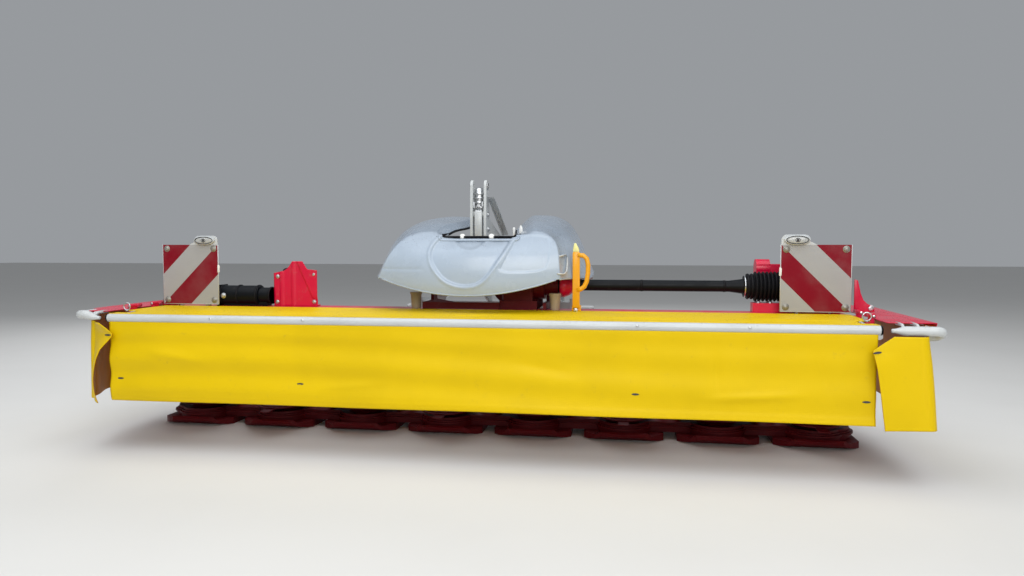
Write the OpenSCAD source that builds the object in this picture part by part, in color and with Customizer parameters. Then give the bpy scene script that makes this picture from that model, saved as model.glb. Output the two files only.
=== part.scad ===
/* [Overall] */
// Width of one side guard, from its hinge line to its outer face
guard_w = 188; // [180:1:200]
// Distance of the front tube's axis ahead of the origin
front_reach = 550; // [545:1:560]
// Height of the frame's upper face above the ground
deck_z = 596; // [590:1:600]

/* [Cutter bar] */
// Reach of a blade beyond the middle between two neighbouring discs
blade_lap = 48; // [44:1:50]
// Disc axes behind the origin
disc_y = 70; // [65:1:75]
// Height of the bar housing's floor above the ground
bar_floor = 30; // [26:1:34]
// Height of the bar housing
bar_h = 46; // [40:1:50]
// Reach of the bar's end shoes beyond the frame
shoe_reach = 94; // [90:1:98]
// Width of one skid along the bar
skid_w = 360; // [330:5:360]
// Height of the drum on each outer disc
drum_h = 330; // [300:5:340]

/* [Frame] */
// Depth of the cross beam, front to back
beam_d = 110; // [100:2:116]
// Height of the cross beam
beam_h = 100; // [90:2:110]
// Wall of the cross beam
beam_wall = 8; // [6:1:10]
// Thickness of the end carrier plates
carrier_t = 14; // [10:1:16]
// Half of the frame's length
frame_half = 1556; // [1550:1:1560]

/* [Guards] */
// Diameter of the bumper tubes
tube_d = 36; // [30:1:40]
// Height of the bumper tubes' axes
tube_z = 575; // [570:1:578]
// Length of the lifting arms of the front guard, front to back
arm_len = 150; // [145:1:155]
// Height of the front curtain's lower hem
hem_z = 222; // [210:2:260]
// Height of the side curtains' lower hem
side_hem_z = 212; // [205:2:250]
// Thickness of the tarpaulin
cloth_t = 3; // [3:0.5:4]
// Distance of a side guard's hinge line outside the frame
side_hinge_out = 36; // [34:1:40]
// Height of a side guard's hinge line above the frame
side_hinge_up = 14; // [13:1:16]
// How far the side tubes lie ahead of the front tube
side_ahead = 8.7; // [8.3:0.1:10]

/* [Headstock] */
// Middle of the headstock, mast and hood, beside the middle of the bar
hitch_x = -45; // [-50:1:-40]
// Half of the shoulder distance of the lower hitch pins
hitch_half = 412; // [405:1:420]
// Diameter of the lower hitch pins
hitch_pin_d = 28; // [22:1:36]
// Free length of a lower hitch pin
hitch_pin_len = 95; // [80:5:110]
// Height of the lower hitch pins
hitch_z = 552; // [548:1:556]
// Distance of the hitch pins behind the origin
hitch_y = 532; // [530:1:534]
// Distance from the lower pins up to the top link hole
mast_h = 610; // [590:5:620]
// Clear gap between the two mast plates
mast_gap = 52; // [48:1:60]
// Thickness of one mast plate
mast_t = 12; // [10:1:14]
// Diameter of the top link hole
top_hole_d = 25.5; // [19:0.5:32]
// Diameter of the splined input shaft
input_d = 34.9; // [30:0.1:40]

/* [Hood] */
// Half of the hood's width at its lower edge
hood_half = 522; // [515:1:530]
// Height of the hood's rear crest above its lower edge
hood_h = 282; // [270:2:300]
// Wall of the hood
hood_wall = 5; // [4:0.5:6]

/* [Boards] */
// Side of a square warning board
board = 282; // [270:1:284]
// Thickness of a warning board
board_t = 4; // [3:0.5:6]
// Distance from a board's centre to the end of the frame
board_in = 131; // [130:1:150]

/* [Hidden] */
$fn = 48;

red = [0.78, 0.04, 0.12];
dark_red = [0.45, 0.03, 0.07];
grey = [0.72, 0.74, 0.75];
yellow = [0.95, 0.80, 0.05];
black = [0.10, 0.10, 0.11];
steel = [0.55, 0.56, 0.58];

// Gap between two pieces that rest on each other, and play of a turning pin
seat = 0.3;
pin_play = 0.06;
discs = 8;

// Widths along the machine, from the middle out
side_hinge_x = frame_half + side_hinge_out;
half_w = side_hinge_x + guard_w;
board_x = frame_half - board_in;
bar_half = frame_half + shoe_reach;
disc_pitch = 2 * (bar_half - 180) / (discs - 1);
blade_r = disc_pitch / 2 + blade_lap;

// Heights along the bar, from the skids up to the blades
bar_top = bar_floor + bar_h;
hub_top = bar_top + 14;
disc_z = hub_top + seat;
bar_back = disc_y + 130;

// Frame, between the boards and the ends
board_y = -150;
beam_y = board_y + 10;
beam_back = beam_y + beam_d;
lift_y = -front_reach + arm_len;
lift_z = deck_z - 14;
cover_split = 20;
side_hinge_z = deck_z + side_hinge_up;
carrier_back = disc_y + blade_r + 60;

// Headstock and mast
cross_tube = 80;
cross_y = hitch_y - 130;
mast_y = 0;
top_hole_z = hitch_z + mast_h;
mast_half = mast_gap / 2 + mast_t;

// Transverse drive, from under the hood to the right-hand end
drive_y = -45;
drive_z = 706;
gearbox_x = frame_half - 244;
bellows_x = gearbox_x - 166;

function disc_x(i) = (i - (discs + 1) / 2) * disc_pitch;

module mirrored() {
    children();
    mirror([1, 0, 0]) children();
}

// Extrudes a side profile, drawn as [y, z], along X from x
module side_plate(x, t) translate([x, 0, 0]) rotate([90, 0, 90]) linear_extrude(t) children();

// Extrudes a front profile, drawn as [x, z], backwards from y
module front_plate(y, t) translate([0, y + t, 0]) rotate([90, 0, 0]) linear_extrude(t) children();

module rod_x(x, y, z, d, len) translate([x, y, z]) rotate([0, 90, 0]) cylinder(d = d, h = len);
module rod_y(x, y, z, d, len) translate([x, y, z]) rotate([-90, 0, 0]) cylinder(d = d, h = len);

// Pressed housing with a scalloped front edge, a bearing boss under each disc
// and a smaller dome over each idler gear
scallop_r = 150;
module bar_plan(inset) {
    translate([-bar_half + 60, disc_y - 70 + inset])
        square([2 * bar_half - 120, bar_back - disc_y + 70 - 2 * inset]);
    for (i = [1 : discs]) translate([disc_x(i), disc_y - 12]) circle(r = scallop_r - 12 - inset);
    for (s = [-1, 1]) translate([s * (bar_half - 118), disc_y + 12]) circle(r = 118 - inset);
}
module cutter_bar() color(dark_red) {
    flange = 10;
    translate([0, 0, bar_floor]) linear_extrude(bar_h - 12) bar_plan(flange);
    translate([0, 0, bar_floor + bar_h / 2 - 4]) linear_extrude(8) bar_plan(0);
    translate([0, 0, bar_top - 13]) linear_extrude(13) bar_plan(flange + 8);
    for (i = [1 : discs])
        translate([disc_x(i), disc_y, bar_top - 1])
            cylinder(d1 = 180, d2 = 132, h = hub_top - bar_top + 1);
    for (i = [1 : discs - 1])
        translate([disc_x(i) + disc_pitch / 2, disc_y, bar_top - 1]) cylinder(d1 = 120, d2 = 90, h = 8);
}

// Wear shoes that wrap under the bar, with a turned-up nose
module skids() color(dark_red) for (i = [1 : discs]) intersection() {
    side_plate(disc_x(i) - skid_w / 2, skid_w)
        polygon([[disc_y - 168, bar_floor + 16], [disc_y - 176, bar_floor + 10],
                 [disc_y - 172, bar_floor - 4], [disc_y - 150, 10], [disc_y - 118, 2],
                 [disc_y - 90, 0], [disc_y + 84, 0], [disc_y + 118, 6],
                 [bar_back + 6, bar_floor - 8], [bar_back, bar_floor - seat],
                 [disc_y - 154, bar_floor - seat]]);
    translate([disc_x(i), disc_y, 0]) linear_extrude(100)
        polygon([[-skid_w / 2, bar_back], [-skid_w / 2, -96], [-skid_w / 2 + 50, -150],
                 [-skid_w / 2 + 86, -177], [skid_w / 2 - 86, -177], [skid_w / 2 - 50, -150],
                 [skid_w / 2, -96], [skid_w / 2, bar_back]]);
}

module cross_beam() color(red)
    translate([-frame_half + carrier_t + seat, beam_y, deck_z - beam_h]) difference() {
        cube([2 * (frame_half - carrier_t - seat), beam_d, beam_h]);
        translate([-1, beam_wall, beam_wall])
            cube([2 * frame_half, beam_d - 2 * beam_wall, beam_h - 2 * beam_wall]);
    }

// C-shaped end plate: along the frame, down behind the blades, forward to the bar
foot_h = 44;
module carrier() side_plate(frame_half - carrier_t, carrier_t) difference() {
    back = carrier_back - 26;
    union() {
        polygon([[beam_y, deck_z], [beam_y, deck_z - beam_h], [carrier_back - 95, deck_z - beam_h],
                 [carrier_back - 56, deck_z - beam_h - 60], [carrier_back - 56, bar_floor + foot_h + 40],
                 [carrier_back - 80, bar_floor + foot_h], [bar_back + seat, bar_floor + foot_h],
                 [bar_back + seat, bar_floor], [back, bar_floor], [carrier_back, bar_floor + 40],
                 [carrier_back, deck_z - 50], [carrier_back - 50, deck_z]]);
    }
    for (p = [[beam_y + 20, deck_z - 20], [beam_y + 90, deck_z - 20],
              [beam_y + 20, deck_z - 80], [beam_y + 90, deck_z - 80]])
        translate(p) circle(d = 13);
}
module carrier_right() color(red) carrier();
module carrier_left() color(red) mirror([1, 0, 0]) carrier();

// Ladder frame under the cover, from the beam to the lift hinge, and the lift
// hinge's lugs and the side hinges' front knuckles
rail = 30;
rail_y = lift_y + 15;
lift_arm_t = 10;
lift_pin_d = 14;
lift_eye_d = 24;
lift_x = [365, frame_half - 30];
rail_mid = frame_half - 596;
module deck_frame() color(red) {
    translate([-frame_half, rail_y, deck_z - rail]) cube([2 * frame_half, rail, rail]);
    mirrored() for (x = [lift_x[0], rail_mid, lift_x[1]])
        translate([x - 15, rail_y + rail - 0.01, deck_z - rail])
            cube([30, beam_y - rail_y - rail - seat, rail]);
    mirrored() for (x = lift_x) {
        for (s = [-1, 1])
            side_plate(x + s * (lift_arm_t / 2 + seat + 4) - 4, 8) {
                translate([lift_y, lift_z]) circle(d = lift_eye_d);
                translate([lift_y, lift_z - lift_eye_d / 2]) square([rail_y - lift_y + 1, lift_eye_d]);
            }
        rod_x(x - 12, lift_y, lift_z, lift_pin_d, 24);
    }
    mirrored() side_knuckle_seat(-372, frame_half - 4);
    mirrored() side_knuckle_seat(-210, frame_half - 4);
}

// Knuckle of the frame, with the pin that a side guard turns on
knuckle = 40;
knuckle_r = 9;
side_pin_d = 10;
module side_knuckle_seat(y, x) {
    rod_y(side_hinge_x, y, side_hinge_z, 2 * knuckle_r, knuckle);
    rod_y(side_hinge_x, y + knuckle - 1, side_hinge_z, side_pin_d, knuckle + 1);
    translate([x, y, deck_z - rail]) cube([side_hinge_x + 2 - x, knuckle, rail - 1]);
    translate([side_hinge_x - 10, y, deck_z - 2]) cube([12, knuckle, side_hinge_up - 3]);
}

module deck_cover() color(yellow)
    translate([-frame_half - 8, lift_y + cover_split, deck_z + seat])
        cube([2 * (frame_half + 8), board_y + 4 - lift_y - cover_split, cloth_t]);

// Pull rings of the two locks that hold the front guard down
ring_d = 36;
module lock_rings() color(steel) mirrored() translate([lift_x[1] + 14, lift_y - 60, deck_z + 1.2]) {
    translate([0, 0, ring_d / 2 + 2]) rotate([90, 0, 0])
        rotate_extrude() translate([ring_d / 2 - 2.5, 0]) circle(d = 5, $fn = 24);
    cylinder(d = 16, h = 4);
}

// Angle gearbox above the last disc, on its seat at the beam's right end
gear_case = [110, 182, 140];
case_d = 136;
foot_t = 40;
module side_gearbox() color(red) {
    foot_x = gearbox_x - 132;
    translate([foot_x, beam_y + 44, deck_z + seat])
        cube([frame_half - carrier_t - 2 - foot_x, beam_d - 44, foot_t]);
    translate([disc_x(discs), disc_y, deck_z - 70]) cylinder(d = case_d, h = 120);
    translate([disc_x(discs), disc_y, deck_z + foot_t]) cylinder(d1 = case_d + 6, d2 = case_d, h = 130);
    translate([gearbox_x + 26, drive_y - 54, drive_z - gear_case[2] / 2]) cube(gear_case);
    rod_x(gearbox_x, drive_y, drive_z, 150, 60);
    rod_x(gearbox_x + seat, drive_y, drive_z, 190, 14);
    translate([gearbox_x - 100, drive_y + 70, drive_z + 10]) cube([150, 80, 86]);
    rod_x(gearbox_x - 100, drive_y + 110, drive_z + 76, 84, 60);
}

// Rubber bellows over the outer joint, two narrow folds and then seven wide ones
module drive_bellows() color(black) translate([bellows_x, drive_y, drive_z]) rotate([0, 90, 0]) {
    length = gearbox_x - bellows_x - seat;
    folds = 9;
    step = (length - 8) / folds;
    rotate_extrude() polygon(concat([[27, 0], [46, 0]],
        [for (k = [0 : folds - 1], e = [0 : 3])
            let (r = k < 2 ? 56 : 65)
            [e == 0 || e == 3 ? 50 : r, 4 + step * (k + [0.08, 0.35, 0.72, 0.98][e])]],
        [[46, length], [27, length]]));
}

// Guard tube of the cross shaft with a cone at its outer end
guard_d = 50;
guard_start = 332;
guard_cone = 60;
module shaft_guard() color(black) {
    rod_x(guard_start, drive_y, drive_z, guard_d, bellows_x - guard_start - seat - guard_cone);
    translate([bellows_x - guard_cone - seat - 1, drive_y, drive_z]) rotate([0, 90, 0])
        cylinder(d1 = guard_d, d2 = 66, h = guard_cone + 1);
    rod_x(guard_start, drive_y, drive_z, 74, 26);
}

// Gearbox under the hood: its foot, the upright case, the case on the cross shaft with
// its neck, and the housing of the input shaft
case_x = 155;
module centre_gearbox() color(red) {
    translate([case_x - 85, drive_y - 75, deck_z + seat]) cube([170, 250, foot_t]);
    translate([case_x, drive_y + 60, deck_z + 30]) cylinder(d = 190, h = 150);
    translate([case_x - 65, drive_y - 70, drive_z - 75]) cube([130, 140, 140]);
    rod_x(case_x + 45, drive_y, drive_z, 130, 70);
    rod_x(case_x + 95, drive_y, drive_z, 96, guard_start - case_x - 95 - seat);
    rod_y(input_x, drive_y + 100, input_z, 130, input_y - drive_y - 100 - seat);
}

// Two side members from the beam back to the headstock and the cross channel
lift_half = 284;
module lift_frame() color(red) {
    mirrored() side_plate(lift_half - 14, 14) difference() {
        polygon([[beam_y, deck_z + seat], [beam_y, deck_z + 32], [spring_y - 32, deck_z + 32],
                 [spring_y - 22, spring_z + 12], [spring_y - 10, spring_z + 24],
                 [spring_y + 10, spring_z + 24], [spring_y + 22, spring_z + 12],
                 [spring_y + 40, deck_z + 32], [cross_y - seat, hitch_z + 38],
                 [cross_y - seat, hitch_z - 30], [60, deck_z - 34],
                 [beam_back + seat, deck_z - 34], [beam_back + seat, deck_z + seat]]);
        translate([spring_y, spring_z]) circle(d = 20);
        translate([220, deck_z - 14]) circle(d = 40);
    }
    translate([-lift_half + 13, beam_y, deck_z + 2]) cube([lift_half + 60, 12, 30]);
}

// Tapered buffers on which the hood's carrier rests when the mower swings up
module float_legs() color([0.86, 0.80, 0.66]) mirrored()
    translate([322, beam_y + 28, deck_z + seat]) {
        cylinder(d1 = 42, d2 = 50, h = 66);
        translate([0, 0, 65]) cylinder(d = 55, h = 10);
    }

// Tension springs, closed coils between a hooked rod at each end
coil_d = 66;
wire_d = 9;
coil_turns = 7;
module coil(turns, dia, wire, pitch) {
    steps = turns * 12;
    sides = 6;
    pts = [for (k = [0 : steps], a = [0 : sides - 1])
        let (t = 360 * turns * k / steps, rr = dia / 2 - wire / 2 + wire / 2 * cos(360 * a / sides))
        [pitch * turns * k / steps + wire / 2 * sin(360 * a / sides), rr * cos(t), rr * sin(t)]];
    quads = [for (k = [0 : steps - 1], a = [0 : sides - 1])
        [k * sides + a, k * sides + (a + 1) % sides, (k + 1) * sides + (a + 1) % sides, (k + 1) * sides + a]];
    polyhedron(pts, concat(quads, [[for (a = [sides - 1 : -1 : 0]) a]],
                           [[for (a = [0 : sides - 1]) steps * sides + a]]), convexity = 10);
}
spring_y = 40;
spring_z = 724;
spring_end = 425;
module float_springs() color(steel) mirrored()
    translate([lift_half + seat + wire_d / 2, spring_y, spring_z])
        coil(coil_turns, coil_d, wire_d, (spring_end - lift_half - wire_d - 2 * seat) / coil_turns);

// Hood: an arch in each row, from the front face back to the open rear. Columns: y,
// part of the half width, lower edge, part of the height, roundness, lean of the sides
HOOD_ROWS = [[-342, 0.16, 675, 0.41, 1.00, 0.00], [-331, 0.35, 686, 0.57, 0.96, 0.00],
             [-311, 0.55, 708, 0.70, 0.90, 0.00], [-282, 0.71, 732, 0.82, 0.72, 0.05],
             [-245, 0.785, 742, 0.90, 0.58, 0.12], [-150, 0.865, 742, 0.95, 0.50, 0.20],
             [0, 0.99, 738, 1.00, 0.40, 0.22], [150, 1.0, 745, 1.07, 0.32, 0.23],
             [330, 0.985, 760, 1.12, 0.30, 0.23]];

// Bar through the mast that carries the hood's lower rims and the springs
hood_bar_d = 24;
hood_bar_y = 170;
hood_bar_z = lookup(hood_bar_y, [for (r = HOOD_ROWS) [r[0], r[2]]]) - hood_bar_d / 2 - seat;

// Cross tube with the hitch plates and pins, and braces up to the mast
module headstock() color(grey) translate([hitch_x, 0, 0]) {
    translate([-hitch_half + 20, cross_y, hitch_z - cross_tube / 2])
        cube([2 * hitch_half - 40, cross_tube, cross_tube]);
    mirrored() {
        side_plate(hitch_half - 20, 20) {
            translate([hitch_y, hitch_z]) circle(d = 96);
            polygon([[hitch_y, hitch_z - 48], [hitch_y, hitch_z + 48], [cross_y - 6, hitch_z + 60],
                     [cross_y - 6, hitch_z - 60]]);
        }
        rod_x(hitch_half - 1, hitch_y, hitch_z, hitch_pin_d, hitch_pin_len + 1);
        front_plate(cross_y + 14, 52)
            polygon([[hitch_half - 60, hitch_z + 39], [hitch_half - 130, hitch_z + 39],
                     [mast_half + seat, top_hole_z - 302], [mast_half + seat, top_hole_z - 242],
                     [mast_half + 26, top_hole_z - 242]]);
        stand_lugs();
    }
}

mast_low = 700;
module mast_plate() difference() {
    union() {
        foot_z = hitch_z + cross_tube / 2 + seat;
        translate([mast_y, top_hole_z]) circle(d = 56);
        polygon([[mast_y - 28, top_hole_z], [mast_y + 28, top_hole_z], [mast_y + 52, top_hole_z - 150],
                 [cross_y + 60, top_hole_z - 250], [cross_y + 70, top_hole_z - 280], [cross_y + 70, foot_z],
                 [cross_y + 4, foot_z], [mast_y + 60, mast_low], [mast_y - 30, mast_low],
                 [mast_y - 34, top_hole_z - 150]]);
    }
    translate([mast_y, top_hole_z]) circle(d = top_hole_d);
    translate([mast_y + 190, mast_low + 100]) circle(d = 90);
}
module mast() color(grey) translate([hitch_x, 0, 0]) {
    mirrored() side_plate(mast_gap / 2, mast_t) mast_plate();
    rod_x(-mast_gap / 2 - 1, mast_y, top_hole_z - 262, 58, mast_gap + 2);
    rod_x(-mast_gap / 2 - 1, mast_y, hook_z, 36, mast_gap + 2);
    rod_x(-mast_gap / 2 - 1, cross_y + 30, mast_low, 50, mast_gap + 2);
    rod_x(-hood_half, hood_bar_y, hood_bar_z, hood_bar_d, 2 * hood_half);
    translate([-hitch_x, 0, 0]) mirrored() side_plate(spring_end, 8)
        polygon([[spring_y - 20, spring_z - 18], [spring_y - 20, spring_z + 14],
                 [hood_bar_y - 10, hood_bar_z + 10], [hood_bar_y + 11, hood_bar_z + 8],
                 [hood_bar_y + 11, hood_bar_z - 8], [spring_y, spring_z - 26]]);
}

// Catch between the mast plates that carries the top link when it is off
hook_z = top_hole_z - 132;
module top_link_hook() color(steel) side_plate(hitch_x - 14, 28) {
    difference() {
        union() {
            translate([mast_y, hook_z]) circle(d = 60);
            polygon([[mast_y - 18, hook_z + 10], [mast_y - 14, hook_z + 66], [mast_y + 14, hook_z + 66],
                     [mast_y + 22, hook_z + 10]]);
        }
        translate([mast_y, hook_z]) circle(d = 36 + 2 * seat);
    }
}

// Open channel bar from the mast back to the cross tube
strut_z = top_hole_z - 52;
strut_end = top_hole_z - 230;
module mast_strut() color(grey) {
    translate([hitch_x + mast_half + seat, 0, 0]) difference() {
        side_plate(0, 30)
            polygon([[mast_y - 6, strut_z], [mast_y + 26, strut_z], [cross_y + 40, strut_end + 14],
                     [cross_y + 12, strut_end]]);
        side_plate(6, 40)
            polygon([[mast_y - 26, strut_z - 7], [mast_y + 23, strut_z - 7], [cross_y + 80, strut_end - 14],
                     [cross_y - 10, strut_end - 8]]);
    }
}

hood_base = 760;
hood_steps = 28;
function hood_arc(row, g, k) =
    let (a = 180 * k / hood_steps, c = cos(a), s = pow(sin(a), row[4]),
         top = hood_base - g + (row[3] - 0.12) * hood_h, hw = row[1] * hood_half - g)
    [-hw * sign(c) * pow(abs(c), row[4]) * (1 - row[5] * s), row[0] + (row[0] < -250 ? g : 0),
     row[2] + (top - row[2]) * s];
module hood_solid(g, rows) {
    n = len(rows);
    m = hood_steps + 1;
    pts = [for (row = rows, k = [0 : hood_steps]) hood_arc(row, g, k)];
    sides = [for (j = [0 : n - 2], k = [0 : hood_steps - 1])
        [j * m + k, (j + 1) * m + k, (j + 1) * m + k + 1, j * m + k + 1]];
    floor_face = [for (j = [0 : n - 2]) [j * m, j * m + m - 1, (j + 1) * m + m - 1, (j + 1) * m]];
    front_cap = [[for (k = [0 : hood_steps]) k]];
    back_cap = [[for (k = [hood_steps : -1 : 0]) (n - 1) * m + k]];
    polyhedron(pts, concat(sides, floor_face, front_cap, back_cap), convexity = 6);
}

// The opening for the mast lies about the middle of the bar
notch_half = 131;
notch_x = 9;
notch_z = 925;
notch_front = -320;
module hood() color([0.80, 0.83, 0.86]) difference() {
    translate([hitch_x, 0, 0]) hood_solid(0, HOOD_ROWS);
    translate([hitch_x, 4, -7]) hood_solid(hood_wall, HOOD_ROWS);
    translate([notch_x - notch_half, notch_front, notch_z]) cube([2 * notch_half, 900, 300]);
}

// Blade lever with its loop handle, in a holder on the beam
lever_x = 437;
lever_loop_z = 778;
module blade_lever() {
    color([0.98, 0.62, 0.05]) front_plate(beam_y - 34, 6) {
        translate([lever_x - 11, deck_z + 30]) square([22, 260]);
        difference() {
            translate([lever_x + 3, lever_loop_z]) circle(r = 58);
            translate([lever_x + 9, lever_loop_z]) circle(r = 42);
            translate([lever_x - 90, lever_loop_z - 80]) square([100, 160]);
        }
    }
    color(yellow) translate([lever_x - 17, beam_y - 44, deck_z + 4]) cube([34, 26, 34]);
}

store_x = -(frame_half - 256);
store_y = -84;
store_len = 200;
module storage_tube() color(black) {
    translate([store_x, store_y, deck_z + 50]) {
        rod_x(0, 0, 0, 94, store_len);
        rod_x(store_len - 1, 0, 0, 76, 60);
    }
    side_plate(store_x - 4, 5) translate([store_y - 48, deck_z + seat]) square([96, 100]);
    translate([store_x + 20, store_y - 26, deck_z + seat]) cube([store_len + 20, 52, 20]);
}

// Folded sheet with a peaked top, on a foot behind it
module cover_plate() color(red) translate([store_x + store_len + 72, store_y, deck_z + seat]) {
    front_plate(0, 6)
        polygon([[0, 0], [10, 160], [63, 178], [93, 215], [143, 215], [168, 175], [216, 172], [212, 0]]);
    translate([8, 0, 0]) cube([200, 50, 6]);
}

// Square board with a rounded ear for the lamp at its inner upper corner
ear_w = 118;
ear_h = 44;
module board_outline() {
    square([board, board], center = true);
    translate([-board / 2, board / 2 - 1]) {
        square([ear_w, ear_h - 24]);
        translate([24, 0]) square([ear_w - 48, ear_h]);
        for (x = [24, ear_w - 24]) translate([x, ear_h - 24]) circle(r = 24);
        polygon([[ear_w - 8, 0], [ear_w + 30, 0], [ear_w, 14], [ear_w - 8, 24]]);
    }
}
board_foot = deck_z + cloth_t + 8;
module board_plate() {
    front_plate(board_y, board_t) translate([board_x, board_foot + board / 2]) board_outline();
    for (x = [board_x - 70, board_x + 70])
        side_plate(x - 4, 8)
            polygon([[board_y + board_t - 0.01, board_foot + 20], [board_y + board_t - 0.01, board_foot + 150],
                     [board_y + 12, board_foot + 150], [beam_y + 40, deck_z + 30], [beam_y + 40, deck_z + seat],
                     [beam_y + 4, deck_z + seat], [beam_y, deck_z + cloth_t + 8]]);
}
module board_right() color("white") board_plate();
module board_left() color("white") mirror([1, 0, 0]) board_plate();

function oval(w, h, n) = [for (k = [0 : n - 1]) [w / 2 * cos(360 * k / n), h / 2 * sin(360 * k / n)]];
module lamp() translate([board_x - board / 2 + 63, board_y - seat, board_foot + board + 20])
    rotate([90, 0, 0]) {
        linear_extrude(12) polygon(oval(104, 42, 32));
        translate([0, 0, 11]) linear_extrude(6) polygon(oval(92, 34, 32));
    }
module lamp_right() color("ivory") lamp();
module lamp_left() color("ivory") mirror([1, 0, 0]) lamp();

// Bumper tube on four arms that turn on the frame's lift hinge
module front_guard() color(grey) {
    rod_x(-frame_half - 6, -front_reach, tube_z, tube_d, 2 * frame_half + 12);
    mirrored() for (x = lift_x)
        side_plate(x - lift_arm_t / 2, lift_arm_t) difference() {
            union() {
                polygon([[-front_reach, tube_z - 4], [-front_reach, tube_z + 6],
                         [-front_reach + 16, tube_z + 12 - seat], [lift_y - cover_split, deck_z],
                         [lift_y, lift_z + lift_eye_d / 2], [lift_y, lift_z - lift_eye_d / 2]]);
                translate([lift_y, lift_z]) circle(d = lift_eye_d);
            }
            translate([lift_y, lift_z]) circle(d = lift_pin_d + 2 * pin_play);
            translate([-front_reach, tube_z]) circle(d = tube_d + 2 * seat);
        }
}

// Strip of the cover between the lift hinge and the front tube
module guard_cover() color(yellow)
    side_plate(-frame_half - 2, 2 * frame_half + 4)
        polygon([[-front_reach + 16, tube_z + 12], [-front_reach + 16, tube_z + 12 + cloth_t],
                 [lift_y - cover_split, deck_z + cloth_t + seat], [lift_y - cover_split, deck_z + seat]]);

// The curtain hangs under the front half of the tube, clear of the lifted arms
curtain_ahead = 8;
module front_curtain() color(yellow) {
    reach = tube_d / 2 + seat;
    top = tube_z - sqrt(reach * reach - curtain_ahead * curtain_ahead);
    translate([-frame_half + 4, -front_reach - curtain_ahead - cloth_t, hem_z])
        cube([2 * frame_half - 8, cloth_t, top - hem_z]);
}

// Folding side guard: sheet with a turned-down edge, bumper tube, curtain tabs
side_tube_y = -front_reach - side_ahead;
side_tube_x = half_w - tube_d / 2;
side_bend = 50;
guard_y = -500;
guard_back = 330;
sheet_t = 3;
lip = 16;
module side_guard() {
    sheet_z = side_hinge_z - 9 - sheet_t;
    color(red) {
        translate([side_hinge_x + 10, guard_y, sheet_z])
            cube([half_w - side_hinge_x - 10, guard_back - guard_y, sheet_t]);
        translate([half_w - 4, guard_y, sheet_z - lip]) cube([4, guard_back - guard_y, lip + 1]);
        for (y = [-372, -210]) difference() {
            union() {
                rod_y(side_hinge_x, y + knuckle + seat, side_hinge_z, 2 * knuckle_r, knuckle - 2 * seat);
                translate([side_hinge_x, y + knuckle + seat, sheet_z]) cube([16, knuckle - 2 * seat, 10]);
            }
            rod_y(side_hinge_x, y, side_hinge_z, side_pin_d + 2 * pin_play, 3 * knuckle);
        }
    }
    color(grey) {
        rod_x(side_hinge_x + 4, side_tube_y, tube_z, tube_d, side_tube_x - side_bend - side_hinge_x - 4);
        translate([side_tube_x - side_bend, side_tube_y + side_bend, tube_z]) rotate([0, 0, -90])
            rotate_extrude(angle = 90) translate([side_bend, 0]) circle(d = tube_d);
        rod_y(side_tube_x, side_tube_y + side_bend, tube_z, tube_d, 80);
        for (x = [side_hinge_x + 30, side_tube_x - side_bend - 30])
            translate([x, side_tube_y - 4, tube_z]) cube([24, guard_y + 20 - side_tube_y + 4, sheet_z - tube_z + 1]);
    }
}
module side_guard_right() side_guard();
module side_guard_left() mirror([1, 0, 0]) side_guard();

// Corner curtain: a pointed flap in front of the side tube and a sheet along the side
flap_in = frame_half - 34;
module side_curtain() color(yellow) {
    flap_y = side_tube_y - tube_d / 2 - seat - cloth_t;
    top = tube_z - tube_d / 2 + 1;
    translate([half_w + seat, flap_y, side_hem_z])
        cube([cloth_t, guard_back - flap_y, side_hinge_z - 9 - sheet_t - side_hem_z]);
    front_plate(flap_y, cloth_t)
        polygon([[half_w + seat + 1, side_hem_z], [half_w + seat + 1, top], [flap_in + 72, top],
                 [flap_in, top - 57], [flap_in + 46, side_hem_z]]);
}
module side_curtain_right() side_curtain();
module side_curtain_left() mirror([1, 0, 0]) side_curtain();

// Oval disc on a dished hub, with a bolted blade at each end
disc_long = 188;
disc_short = 134;
blade_w = 46;
blade_t = 4;
module disc(i) translate([disc_x(i), disc_y, disc_z]) rotate(i % 2 == 0 ? 90 : 0) {
    outer = i == 1 || i == discs;
    color(dark_red) {
        cylinder(d = 120, h = 12);
        translate([0, 0, 11]) linear_extrude(6) polygon(oval(2 * disc_long, 2 * disc_short, 48));
        translate([0, 0, 16]) linear_extrude(5) polygon(oval(2 * disc_long - 34, 2 * disc_short - 22, 48));
        if (outer) {
            translate([0, 0, 20]) cylinder(d1 = 236, d2 = 190, h = drum_h);
            for (a = [45 : 90 : 315]) rotate(a)
                side_plate(-5, 10)
                    polygon([[90, 20], [128, 20], [106, drum_h + 20], [90, drum_h + 20]]);
        } else {
            translate([0, 0, 20]) cylinder(d1 = 206, d2 = 130, h = 18);
            translate([0, 0, 37]) cylinder(d1 = 112, d2 = 96, h = 12);
        }
    }
    color(steel) for (s = [0, 180]) rotate(s) {
        translate([0, 0, 7]) linear_extrude(blade_t)
            polygon([[132, -blade_w / 2], [blade_r - 14, -blade_w / 2], [blade_r - 2, blade_w / 2 - 12],
                     [blade_r - 8, blade_w / 2], [132, blade_w / 2]]);
        translate([disc_long - 28, 0, 2]) cylinder(d = 34, h = 10);
    }
}
module disc_1() disc(1);
module disc_2() disc(2);
module disc_3() disc(3);
module disc_4() disc(4);
module disc_5() disc(5);
module disc_6() disc(6);
module disc_7() disc(7);
module disc_8() disc(8);

input_x = 75;
input_z = 680;
input_y = 150;
input_len = 100;
module input_shaft() color(steel) {
    rod_y(input_x, input_y, input_z, input_d, input_len);
}

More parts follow.
